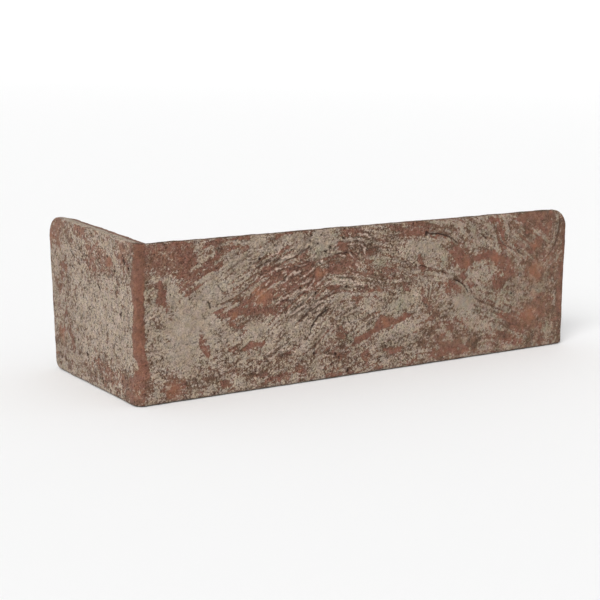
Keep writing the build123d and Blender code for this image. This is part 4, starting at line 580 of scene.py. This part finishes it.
# relief, always inwards
inner_part = 1 - 0.93 * np.exp(-((away / 3.5) ** 2))
depth = 0.32 + 0.05 * band(16.0) + 0.04 * n4 + inner_part * (0.045 * n3 + 0.04 * n2 + 0.035 * n1 + 0.035 * grain * n0)
depth -= inner_part * (1 - plain) * along_run * (0.08 * fine_run + 0.05 * long_run)
depth += 0.10 * (1 - cover) + groove - 0.05 * smooth * (n1 + n2)
chips = ramp(band(5.0) + 0.5 * n2, 1.5, 2.4) * np.exp(-((away + 0.6) / 1.3) ** 2)
depth = np.clip(depth + 0.12 * chips, 0.03, 1.5)

# ---- the mesh ----------------------------------------------------------------


def path(s):
    """Place in plan and outward normal of the outer faces at unfolded distance s."""
    s = np.asarray(s, float)
    phi = np.clip(s / ARRIS_R, -math.pi / 4, math.pi / 4) + math.pi / 4
    n = np.stack([-np.cos(phi), -np.sin(phi)], -1)
    p = np.array([ARRIS_R, ARRIS_R]) + ARRIS_R * n
    p[..., 1] += np.maximum(-s - ARC, 0)
    p[..., 0] += np.maximum(s - ARC, 0)
    return p, n


def inner(s):
    """Place in plan on the backs that belongs to unfolded distance s."""
    s = np.asarray(s, float)
    _, n = path(s)
    first = THICK + INNER_R
    out = np.maximum(np.abs(s) - ARC, 0)
    leg = np.where(
        out < 30, first + out * (ARRIS_R + 30 - first) / 30, ARRIS_R + out
    )
    back = np.full_like(leg, THICK)
    p = np.array([first, first]) + INNER_R * n
    along = np.where((s > 0)[..., None], np.stack([leg, back], -1), np.stack([back, leg], -1))
    return np.where((np.abs(s) > ARC)[..., None], along, p)


# The faces' outline, unfolded, anticlockwise as seen from outside: sharp corners
# and their radii. The first corner is the return's foot.
outline = [
    (-(SHORT - END_LEAN) + FLAT, 0.0, 3.8),
    (LONG - FLAT, 0.0, 1.5),
    (LONG - FAR_LEAN - FLAT, HEIGHT, 9.0),
    (-THICK + FLAT, HEIGHT, 0.0),
    (-SHORT + FLAT, HEIGHT + RISE, 9.0),
]


def inset_outline():
    """Points, normals' angles and lengths along the outline moved in by EDGE_R, and the length at each corner's middle."""
    v = np.array([o[:2] for o in outline])
    d = np.roll(v, -1, 0) - v
    d /= np.linalg.norm(d, axis=1)[:, None]
    pts, angles, middle = [], [], []
    for i, (_, _, r) in enumerate(outline):
        n0, n1 = (np.array([e[1], -e[0]]) for e in (d[i - 1], d[i]))
        c = v[i] - (n0 + n1) * r / (1 + n0 @ n1)
        a0 = math.atan2(n0[1], n0[0])
        turn = (math.atan2(n1[1], n1[0]) - a0 + math.pi) % (2 * math.pi) - math.pi
        for t in np.linspace(0, 1, 65):
            a = a0 + turn * t
            pts.append(c + (r - EDGE_R) * np.array([math.cos(a), math.sin(a)]))
            angles.append(a)
        middle.append(len(pts) - 33)
    pts.append(pts[0])
    angles.append(angles[0])
    pts, angles = np.array(pts), np.unwrap(angles)
    length = np.concatenate([[0], np.cumsum(np.linalg.norm(np.diff(pts, axis=0), axis=1))])
    return pts, angles, length, length[middle]


PTS, ANGLES, LENGTH, MIDDLE = inset_outline()
N_RET, N_ARC, N_STR, N_UP = 162, 12, 426, 120
N_ALL = N_RET + N_ARC + N_STR


def along(stops):
    """Points and outward normals at lengths along the inset outline."""
    x = np.asarray(stops) % LENGTH[-1]
    p = np.stack([np.interp(x, LENGTH, PTS[:, k]) for k in (0, 1)], -1)
    a = np.interp(x, LENGTH, ANGLES)
    return p, np.stack([np.cos(a), np.sin(a)], -1)


def stops(*marks):
    """Lengths from mark to mark, given as length, segments, length, ..."""
    out = [np.linspace(a, b, n, endpoint=False) for a, n, b in zip(marks[:-2:2], marks[1::2], marks[2::2])]
    return np.concatenate(out + [[marks[-1]]])


low = LENGTH[64] - PTS[64, 0]  # length at s = 0 on the foot
high = LENGTH[64 * 3 + 2] + PTS[64 * 3 + 2, 0]  # and on the top
bottom, m_bottom = along(stops(MIDDLE[0], N_RET, low - ARC, N_ARC, low + ARC, N_STR, MIDDLE[1]))
right, m_right = along(stops(MIDDLE[1], N_UP, MIDDLE[2]))
top, m_top = along(stops(MIDDLE[2], N_STR, high - ARC, N_ARC, high + ARC, N_RET, MIDDLE[4]))
left, m_left = along(stops(MIDDLE[4], N_UP, LENGTH[-1] + MIDDLE[0]))
top, m_top, left, m_left = top[::-1], m_top[::-1], left[::-1], m_left[::-1]


def patch(b, t, l, r):
    """A Coons patch of the four sides: an array [column, row, (s, z)]."""
    nu, nv = len(b), len(l)
    u = np.linspace(0, 1, nu)[:, None, None]
    v = np.linspace(0, 1, nv)[None, :, None]
    b, t, l, r = b[:, None], t[:, None], l[None], r[None]
    return (
        (1 - v) * b + v * t + (1 - u) * l + u * r
        - (1 - u) * (1 - v) * b[:1] - u * (1 - v) * b[-1:]
        - (1 - u) * v * t[:1] - u * v * t[-1:]
    )


def three_patches(b, t, l, r, i1, i2):
    """The whole unfolded front or back, in patches that meet at the arris."""
    up = np.linspace(0, 1, len(l))[:, None]
    post = [b[i] * (1 - up) + t[i] * up for i in (i1, i2)]
    return np.concatenate([
        patch(b[: i1 + 1], t[: i1 + 1], l, post[0]),
        patch(b[i1 : i2 + 1], t[i1 : i2 + 1], post[0], post[1])[1:],
        patch(b[i2:], t[i2:], post[1], r)[1:],
    ])


front = three_patches(bottom, top, left, right, N_RET, N_RET + N_ARC)
verts, raster_at, kind = [], [], []  # kind: 0 front, 1 skirts, 2 backs
count = 0


def put(xyz, at, what):
    """Adds rows of vertices and returns their numbers, shaped like the input."""
    global count
    xyz, at = np.asarray(xyz, float), np.asarray(at, float)
    shape = xyz.shape[:-1]
    n = int(np.prod(shape))
    verts.append(xyz.reshape(-1, 3))
    raster_at.append(at.reshape(-1, 2))
    kind.append(np.full(n, what))
    ids = np.arange(count, count + n).reshape(shape)
    count += n
    return ids


def three(plan, z):
    return np.concatenate([plan, z[..., None]], -1)


# front
p, n = path(front[..., 0])
sunk = look_up(depth, front[..., 0], front[..., 1])
ids_front = put(three(p - n * sunk[..., None], front[..., 1]), front, 0)

# the perimeter of the front, anticlockwise seen from outside
loop_ids = np.concatenate(
    [ids_front[:, 0], ids_front[-1, 1:], ids_front[-2::-1, -1], ids_front[0, -2:0:-1]]
)
rim = np.concatenate([bottom, right[1:], top[-2::-1], left[-2:0:-1]])
rim_m = np.concatenate([m_bottom, m_right[1:], m_top[-2::-1], m_left[-2:0:-1]])
n_rim = len(rim)
side_no = np.concatenate([
    np.zeros(N_ALL), np.ones(N_UP), np.full(N_ALL, 2), np.full(N_UP, 3)
]).astype(int)  # of the segment that starts at each rim point
n_plan = path(rim[:, 0])[1]
tangent = np.stack([-n_plan[:, 1], n_plan[:, 0]], -1)  # towards growing s


def bed_height(plan):
    """Height of the falling top bed over places in plan."""
    x, y = plan[..., 0], plan[..., 1]
    down = [TOP_FALL * np.clip((d - TOP_FLAT) / (THICK - TOP_FLAT), 0, 1) for d in (x, y)]
    rise = RISE * np.clip((y - THICK) / (SHORT - THICK), 0, None)
    return HEIGHT + np.maximum(rise - down[0] - np.clip(x - THICK, 0, None), -down[1])


rings = [loop_ids]
for step in (1, 2, 3, 4):  # the worn edge
    a = step * math.pi / 8
    pos = rim + rim_m * EDGE_R * math.sin(a)
    q, nn = path(pos[:, 0])
    at = rim + rim_m * EDGE_R * a
    sunk = look_up(depth, at[:, 0], at[:, 1])
    out3 = (
        three(nn * math.cos(a), np.zeros(n_rim))
        + np.concatenate([tangent * rim_m[:, :1], rim_m[:, 1:]], -1) * math.sin(a)
    )
    xyz = three(q - nn * EDGE_R * (1 - math.cos(a)), pos[:, 1]) - out3 * sunk[:, None]
    rings.append(put(xyz, at, 1))


def skirt(d, pick):
    """A ring of vertices on the beds and ends, d mm behind the faces."""
    m = rim_m[pick]
    pos = rim[pick] + m * EDGE_R
    q, nn = path(pos[:, 0])
    t = (d - EDGE_R) / (THICK - EDGE_R)
    plan = (q - nn * EDGE_R) * (1 - t) + inner(pos[:, 0]) * t
    at = rim[pick] + m * (EDGE_R * math.pi / 2 + d - EDGE_R)
    sunk = look_up(depth, at[:, 0], at[:, 1])
    bed = bed_height(plan)
    over = pos[:, 1] > bed
    z = np.minimum(pos[:, 1], bed)
    push = np.concatenate([tangent[pick] * m[:, :1], m[:, 1:]], -1)
    push[over] = (0, 0, 1)
    return put(three(plan, z) - push * sunk[:, None], at, 1)


every = np.arange(n_rim)
for d in (1.8, 2.5):
    rings.append(skirt(d, every))
coarse = every[::3]
coarse_rings = [skirt(d, coarse) for d in (3.6, 4.8, 6.1, 7.5, 8.9, 10.3, 11.4, 12.0)]

quads, quad_uv, tris, tri_uv = [], [], [], []


def quad_block(a, b, c, d, region):
    """Quads from four equal arrays of vertex numbers, anticlockwise from outside."""
    q = np.stack([a.ravel(), b.ravel(), c.ravel(), d.ravel()], -1)
    quads.append(q)
    quad_uv.append(np.full(len(q), region))


def quad_ring(inner_ring, outer_ring, region):
    """Quads between two rings, of which the inner one is nearer to the faces."""
    a, b = inner_ring, np.roll(inner_ring, -1)
    c, d = np.roll(outer_ring, -1), outer_ring
    quads.append(np.stack([b, a, d, c], -1))
    quad_uv.append(region)


# Regions of the bake's map: 0 stretcher, 1 return, 2 bottom bed, 3 far end, 4 top
# bed, 5 the return's end, 6 backs.
G = ids_front
cut_at = N_RET + N_ARC // 2
quad_block(G[:cut_at, :-1], G[1 : cut_at + 1, :-1], G[1 : cut_at + 1, 1:], G[:cut_at, 1:], 1)
quad_block(G[cut_at:-1, :-1], G[cut_at + 1 :, :-1], G[cut_at + 1 :, 1:], G[cut_at:-1, 1:], 0)
cut_s = (front[cut_at, 0, 0] + front[cut_at, -1, 0]) / 2
mid_s = (rim[:, 0] + np.roll(rim[:, 0], -1)) / 2
front_region = np.where(mid_s > cut_s, 0, 1)
bed_region = 2 + side_no
for k, (r0, r1) in enumerate(zip(rings, rings[1:])):
    quad_ring(r0, r1, front_region if k < 4 else bed_region)

# three to one between the last fine ring and the first coarse one
f, g = rings[-1], coarse_rings[0]
for k in range(len(g)):
    a = [f[(3 * k + i) % n_rim] for i in range(4)]
    b0, b1 = g[k], g[(k + 1) % len(g)]
    tris += [[a[1], a[0], b0], [a[2], a[1], b0], [a[2], b0, b1], [a[3], a[2], b1]]
    tri_uv += [bed_region[3 * k]] * 4
for r0, r1 in zip(coarse_rings, coarse_rings[1:]):
    quad_ring(r0, r1, bed_region[coarse])

# the sawn backs
edge0 = rim + rim_m * EDGE_R
edge0[:, 1] = np.minimum(edge0[:, 1], bed_height(inner(edge0[:, 0])))
ca, cu = N_ALL // 3, N_UP // 3
eb = edge0[: N_ALL + 1][::3]
er = edge0[N_ALL : N_ALL + N_UP + 1][::3]
et = edge0[N_ALL + N_UP : 2 * N_ALL + N_UP + 1][::3][::-1]
el = np.concatenate([edge0[2 * N_ALL + N_UP :], edge0[:1]])[::3][::-1]
back = three_patches(eb, et, el, er, N_RET // 3, (N_RET + N_ARC) // 3)
ids_back = np.empty(back.shape[:2], int)
last = coarse_rings[-1]
ids_back[:, 0] = last[: ca + 1]
ids_back[-1, :] = last[ca : ca + cu + 1]
ids_back[:, -1] = last[ca + cu : 2 * ca + cu + 1][::-1]
ids_back[0, :] = np.concatenate([last[2 * ca + cu :], last[:1]])[::-1]
inside = (slice(1, -1), slice(1, -1))
nb = path(back[..., 0])[1]
saw = 0.05 + 0.04 * np.sin(back[..., 0] * 1.9 + 0.02 * np.abs(back[..., 1]) ** 1.5)
xyz_back = three(inner(back[..., 0]) - nb * saw[..., None], back[..., 1])
ids_back[inside] = put(xyz_back[inside], back[inside], 2)
B = ids_back
quad_block(B[:-1, :-1], B[:-1, 1:], B[1:, 1:], B[1:, :-1], 6)

xyz = np.concatenate(verts)
ras = np.concatenate(raster_at)
kinds = np.concatenate(kind)
quads = np.concatenate(quads)
quad_uv = np.concatenate(quad_uv)
tris = np.array(tris)
tri_uv = np.array(tri_uv)

mesh = bpy.data.meshes.new("corner_tile_clay")
n_loops = 4 * len(quads) + 3 * len(tris)
mesh.vertices.add(len(xyz))
mesh.vertices.foreach_set("co", ((xyz + CORNER) / 1000).astype(np.float32).ravel())
mesh.loops.add(n_loops)
loops = np.concatenate([quads.ravel(), tris.ravel()]).astype(np.int32)
mesh.loops.foreach_set("vertex_index", loops)
mesh.polygons.add(len(quads) + len(tris))
starts = np.concatenate([np.arange(len(quads)) * 4, 4 * len(quads) + np.arange(len(tris)) * 3])
mesh.polygons.foreach_set("loop_start", starts.astype(np.int32))
mesh.update(calc_edges=True)
mesh.validate()
mesh.shade_smooth()

# a map for the bake, in pixels of 1024, with most of its room for the faces
r = np.concatenate([np.repeat(quad_uv, 4), np.repeat(tri_uv, 3)])
ls, lw = ras[loops, 0], ras[loops, 1]
u = np.select(
    [r == 0, r == 1, (r == 2) | (r == 4), r == 3, r == 5],
    [8 + ls * 4.42, 8 + (ls + 86) * 5.45, 508 + (ls + 102) * 1.45, 512 + (ls - 220) * 2.4, 620 + (ls + 102) * 2.4],
    508 + (ls + 90) * 1.6,
)
v = np.select(
    [r == 0, r == 1, r == 2, r == 4, (r == 3) | (r == 5)],
    [544 + (lw + 2) * 6.8, 40 + (lw + 2) * 6.8, 500 + (lw - 1) * 2.6, 440 - (lw - HEIGHT + 1) * 2.6, 190 + (lw + 2) * 2.9],
    6 + lw * 2.6,
)
layer = mesh.uv_layers.new(name="OFBake")
layer.data.foreach_set("uv", (np.stack([u, v], -1) / 1024).astype(np.float32).ravel())


def attribute(name, values):
    a = mesh.attributes.new(name, "FLOAT", "POINT")
    a.data.foreach_set("value", np.asarray(values, np.float32))


attribute("cover", look_up(np.clip(need, -3, 3), ras[:, 0], ras[:, 1]))
attribute("vein", look_up(vein_run, ras[:, 0], ras[:, 1]))
attribute("thread", look_up(thread_run, ras[:, 0], ras[:, 1]))
attribute("creased", look_up(creased, ras[:, 0], ras[:, 1]))
attribute("hue", look_up(hue, ras[:, 0], ras[:, 1]))
attribute("tone", look_up(tone, ras[:, 0], ras[:, 1]))
attribute("crack_pit_shade", look_up(crack_pit_shade, ras[:, 0], ras[:, 1]))
attribute("crease_shade", look_up(crease_shade, ras[:, 0], ras[:, 1]))
attribute("ridges", look_up(ridges, ras[:, 0], ras[:, 1]))
attribute("far_end", look_up(far_end, ras[:, 0], ras[:, 1]))
attribute("glow", look_up(glow, ras[:, 0], ras[:, 1]))
attribute("green", look_up(green, ras[:, 0], ras[:, 1]))
attribute("smooth", look_up(smooth, ras[:, 0], ras[:, 1]))
attribute("header", look_up(header, ras[:, 0], ras[:, 1]))
attribute("plain", look_up(plain, ras[:, 0], ras[:, 1]))
attribute("grain", look_up(grain, ras[:, 0], ras[:, 1]))
attribute("thin", look_up(thin, ras[:, 0], ras[:, 1]))
attribute("sawn", kinds == 2)

tile = bpy.data.objects.new("corner_tile_fired", mesh)
scene.collection.objects.link(tile)

# ---- the fired clay and its thin lime wash -------------------------------------
mat = bpy.data.materials.new("washed_clay")
mat.use_nodes = True
nt = mat.node_tree
nt.nodes.clear()


def node(kind_, **settings):
    n = nt.nodes.new(kind_)
    for k, x in settings.items():
        setattr(n, k, x)
    return n


def feed(socket, x):
    if isinstance(x, bpy.types.NodeSocket):
        nt.links.new(x, socket)
    elif isinstance(x, tuple) and len(x) == 3:
        socket.default_value = (*x, 1.0)
    else:
        socket.default_value = x


def attr(name):
    return node("ShaderNodeAttribute", attribute_name=name).outputs["Fac"]


coords = node("ShaderNodeTexCoord").outputs["Object"]


def noise(scale_mm, detail=3.0, rough=0.6):
    n = node("ShaderNodeTexNoise", noise_dimensions="3D")
    n.inputs["Scale"].default_value = 1000 / scale_mm
    n.inputs["Detail"].default_value = detail
    n.inputs["Roughness"].default_value = rough
    nt.links.new(coords, n.inputs["Vector"])
    return n.outputs["Fac"]


def calc(op, a, b=0.0, c=0.0, clamp=False):
    n = node("ShaderNodeMath", operation=op, use_clamp=clamp)
    for k, x in enumerate((a, b, c)):
        feed(n.inputs[k], x)
    return n.outputs[0]


def mix(fac, a, b, blend="MIX"):
    n = node("ShaderNodeMix", data_type="RGBA", blend_type=blend)
    for k, x in ((0, fac), (6, a), (7, b)):
        feed(n.inputs[k], x)
    return n.outputs[2]


def step(x, a, b):
    n = node("ShaderNodeMapRange", interpolation_type="SMOOTHSTEP")
    for k, v in (("Value", x), ("From Min", a), ("From Max", b)):
        feed(n.inputs[k], v)
    return n.outputs[0]


def lin(r, g, b):
    """Linear colour of an sRGB one (0 to 255), under this light."""
    return tuple(LIGHT * ((c / 255 + 0.055) / 1.055) ** 2.4 for c in (r, g, b))


LIGHT = 0.88
coarse_n, mid_n, grain_n, tiny_n = noise(6.0, 3.0), noise(2.2, 3.0), noise(0.85, 2.0), noise(0.45, 2.0)
head, plain_a, even, gritty = attr("header"), attr("plain"), attr("smooth"), attr("grain")

brown = mix(step(mid_n, 0.35, 0.65), lin(88, 67, 53), lin(109, 84, 69))
red = mix(step(mid_n, 0.35, 0.65), lin(109, 74, 61), lin(129, 88, 74))
orange = mix(step(mid_n, 0.35, 0.65), lin(122, 83, 63), lin(142, 99, 76))
hue_a = calc("ADD", attr("hue"), calc("MULTIPLY", calc("SUBTRACT", coarse_n, 0.5), 0.25))
clay = mix(step(hue_a, 0.10, 0.55), brown, red)
clay = mix(step(hue_a, 0.66, 0.98), clay, orange)

wash_long = mix(step(coarse_n, 0.35, 0.65), lin(148, 133, 118), lin(162, 148, 133))
wash_head = mix(step(coarse_n, 0.35, 0.65), lin(151, 137, 123), lin(166, 152, 138))
wash = mix(head, wash_long, wash_head)
wash = mix(calc("MULTIPLY", attr("green"), 0.55), wash, lin(142, 136, 116))

ragged = calc("ADD", calc("MULTIPLY", calc("SUBTRACT", grain_n, 0.5), 4.6), calc("MULTIPLY", calc("SUBTRACT", tiny_n, 0.5), 3.6))
raised = calc("ADD", attr("cover"), calc("MULTIPLY", ragged, calc("ADD", 0.25, calc("MULTIPLY", gritty, 0.75))))
vein, thread, creasy = attr("vein"), attr("thread"), attr("creased")
pale_line = calc("MULTIPLY", step(vein, 0.50, 0.75), calc("SUBTRACT", 1.0, step(vein, 1.1, 1.4)))
pale_thread = calc("MULTIPLY", step(thread, 0.55, 0.80), calc("SUBTRACT", 1.0, step(thread, 1.5, 1.9)))
pale_lines_and_highlight = calc("MULTIPLY", calc("MAXIMUM", pale_line, calc("MULTIPLY", pale_thread, 0.75)), creasy)
raised = calc("ADD", raised, calc("MULTIPLY", pale_lines_and_highlight, 2.3))
covered = step(raised, -0.75, 0.75)
colour_even = mix(step(noise(3.0, 3.0), 0.35, 0.65), lin(112, 74, 59), lin(127, 85, 66))
haze = calc("MULTIPLY", step(noise(1.5, 3.0), 0.46, 0.66), calc("MULTIPLY", gritty, 0.34))
soot = calc("MULTIPLY", step(noise(1.1, 3.0), 0.52, 0.68), calc("MULTIPLY", gritty, 0.40))
clay = mix(haze, clay, lin(142, 122, 108))
clay = mix(soot, clay, lin(80, 62, 51))
clay = mix(calc("MULTIPLY", even, 0.65), clay, colour_even)
clay = mix(calc("MULTIPLY", calc("MULTIPLY", head, calc("SUBTRACT", 1.0, plain_a)), 0.20), clay, lin(148, 124, 110))
colour = mix(covered, clay, wash)
rim = calc("MULTIPLY", calc("MULTIPLY", covered, calc("SUBTRACT", 1.0, covered)), 4.0)
colour = mix(calc("MULTIPLY", calc("MULTIPLY", rim, gritty), 0.30), colour, lin(82, 63, 51))
colour = mix(calc("MULTIPLY", attr("thin"), 0.62), colour, mix(step(mid_n, 0.3, 0.7), lin(117, 91, 75), lin(138, 109, 92)))
colour = mix(calc("MULTIPLY", attr("glow"), 0.38), colour, lin(158, 108, 82))

# the skin's tint wanders between rosy and olive, most of all at the far end
rosy = mix(step(noise(3.4, 3.0), 0.36, 0.64), (0.945, 1.01, 0.985), (1.05, 0.985, 0.985))
colour = mix(calc("ADD", 0.45, calc("MULTIPLY", attr("far_end"), 0.55)), colour, mix(1.0, colour, rosy, "MULTIPLY"))
yellow = mix(step(noise(2.5, 3.0), 0.36, 0.64), (1.01, 1.005, 0.945), (0.99, 0.995, 1.05))
colour = mix(1.0, colour, yellow, "MULTIPLY")

# the beds and ends as moulded, and the sawn backs
specks = step(noise(1.6, 2.0), 0.60, 0.70)
bed = mix(step(mid_n, 0.3, 0.7), lin(112, 78, 64), lin(134, 98, 80))
bed = mix(calc("MULTIPLY", specks, 0.45), bed, lin(158, 138, 118))
colour = mix(calc("MULTIPLY", plain_a, calc("SUBTRACT", 1.0, covered)), colour, bed)
rings_ = node("ShaderNodeTexWave", wave_type="RINGS", rings_direction="SPHERICAL")
rings_.inputs["Scale"].default_value = 95.0
rings_.inputs["Distortion"].default_value = 1.2
shift = node("ShaderNodeVectorMath", operation="ADD")
shift.inputs[1].default_value = (0.03, 0.0, 0.24)
nt.links.new(coords, shift.inputs[0])
nt.links.new(shift.outputs[0], rings_.inputs["Vector"])
cut = mix(step(mid_n, 0.3, 0.7), lin(128, 80, 62), lin(146, 96, 76))
cut = mix(calc("MULTIPLY", rings_.outputs["Fac"], 0.22), cut, lin(112, 72, 58))
cut = mix(calc("MULTIPLY", step(noise(2.4, 1.0), 0.64, 0.70), 0.6), cut, lin(172, 146, 120))
cut = mix(calc("MULTIPLY", step(noise(1.3, 1.0), 0.66, 0.72), 0.7), cut, lin(76, 52, 44))

# painted shadow along the creases, beside the pale lines
line = calc("SUBTRACT", 1.0, step(calc("ABSOLUTE", vein), 0.25, 0.55))
hair = calc("SUBTRACT", 1.0, step(calc("ABSOLUTE", calc("ADD", thread, 0.1)), 0.15, 0.45))
line = calc("MAXIMUM", line, calc("MULTIPLY", hair, 0.45))
colour = mix(calc("MULTIPLY", calc("MULTIPLY", line, creasy), 0.74), colour, lin(64, 47, 38))
wobble = calc("MULTIPLY", calc("SUBTRACT", grain_n, 0.5), 0.8)
# pale wash on the fine ridges, painted brighter as a highlight on their crests
ridge_painted_highlight = step(calc("ADD", attr("ridges"), calc("MULTIPLY", wobble, 1.6)), -0.30, 0.08)
colour = mix(calc("MULTIPLY", ridge_painted_highlight, 0.68), colour, lin(182, 161, 147))
# painted shade in the creases
colour = mix(calc("MULTIPLY", step(calc("ADD", attr("crease_shade"), wobble), -0.30, 0.10), 0.5), colour, lin(62, 46, 38))
# painted shade in the cracks and pits
colour = mix(calc("MULTIPLY", step(calc("ADD", attr("crack_pit_shade"), wobble), -0.30, 0.12), 0.88), colour, lin(50, 36, 29))
colour = mix(attr("sawn"), colour, cut)
speckle = calc("MULTIPLY", calc("SUBTRACT", grain_n, 0.5), 0.9)
speckle = calc("ADD", speckle, calc("MULTIPLY", calc("SUBTRACT", tiny_n, 0.5), 2.0))
speckle = calc("ADD", speckle, calc("MULTIPLY", step(noise(0.7, 1.0), 0.60, 0.70), 0.22))
speckle = calc("SUBTRACT", speckle, calc("MULTIPLY", step(noise(0.95, 1.0), 0.57, 0.66), calc("ADD", 0.40, calc("MULTIPLY", head, 0.2))))
# painted highlight on the pale lines of the creased parts
speckle = calc("ADD", speckle, calc("ADD", calc("MULTIPLY", pale_lines_and_highlight, 0.25), 0.058))
speckle = calc("MULTIPLY", speckle, calc("ADD", 0.2, calc("MULTIPLY", gritty, 0.8)))
light_ = calc("MULTIPLY", attr("tone"), calc("ADD", 1.0, speckle))
grey = node("ShaderNodeCombineColor")
for k in range(3):
    nt.links.new(light_, grey.inputs[k])
colour = mix(1.0, colour, grey.outputs[0], "MULTIPLY")

bsdf = node("ShaderNodeBsdfPrincipled")
bsdf.inputs["Specular IOR Level"].default_value = 0.15
nt.links.new(colour, bsdf.inputs["Base Color"])
matte = calc("ADD", 0.82, calc("MULTIPLY", covered, 0.12))
matte = calc("SUBTRACT", matte, calc("MULTIPLY", even, 0.18))
nt.links.new(matte, bsdf.inputs["Roughness"])
bump = node("ShaderNodeBump")
bump.inputs["Strength"].default_value = 0.5
bump.inputs["Distance"].default_value = 0.0003
nt.links.new(noise(0.8, 4.0, 0.7), bump.inputs["Height"])
nt.links.new(bump.outputs[0], bsdf.inputs["Normal"])
nt.links.new(bsdf.outputs[0], node("ShaderNodeOutputMaterial").inputs[0])
mesh.materials.append(mat)

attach(tile, "root")
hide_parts("corner_tile")

# ---- floor and light -------------------------------------------------------------
turns, profile = 96, [(0.4, 0.0), (1.5, 0.0), (3.0, 0.0)]
profile += [(3.0 + 2.0 * math.sin(t), 2.0 - 2.0 * math.cos(t)) for t in np.linspace(0.1, 1.35, 14)]
pts = [(0.0, 0.0, cad_lo.z)] + [
    (r_ * math.cos(2 * math.pi * k / turns), r_ * math.sin(2 * math.pi * k / turns), cad_lo.z + h_)
    for r_, h_ in profile
    for k in range(turns)
]
faces = [(0, 1 + k, 1 + (k + 1) % turns) for k in range(turns)]
for i in range(len(profile) - 1):
    a, b = 1 + i * turns, 1 + (i + 1) * turns
    faces += [(a + k, b + k, b + (k + 1) % turns, a + (k + 1) % turns) for k in range(turns)]
floor_mesh = bpy.data.meshes.new("floor")
floor_mesh.from_pydata(pts, [], faces)
floor_mesh.update()
floor_mesh.shade_smooth()
floor = bpy.data.objects.new("floor", floor_mesh)
scene.collection.objects.link(floor)
pale = bpy.data.materials.new("pale_floor")
pale.use_nodes = True
base = pale.node_tree.nodes["Principled BSDF"]
base.inputs["Base Color"].default_value = (0.90, 0.90, 0.90, 1.0)
base.inputs["Roughness"].default_value = 0.9
floor_mesh.materials.append(pale)

sun_data = bpy.data.lights.new("sun", "SUN")
sun_data.energy = 2.3
sun_data.angle = 0.6
sun = bpy.data.objects.new("sun", sun_data)
sun.rotation_euler = Vector((-0.62, -0.50, 0.60)).to_track_quat("Z", "Y").to_euler()
scene.collection.objects.link(sun)
world = bpy.data.worlds.new("studio")
world.use_nodes = True
world.node_tree.nodes["Background"].inputs[0].default_value = (1.0, 1.0, 1.0, 1.0)
world.node_tree.nodes["Background"].inputs[1].default_value = 0.6
scene.world = world
scene.view_settings.view_transform = "Standard"
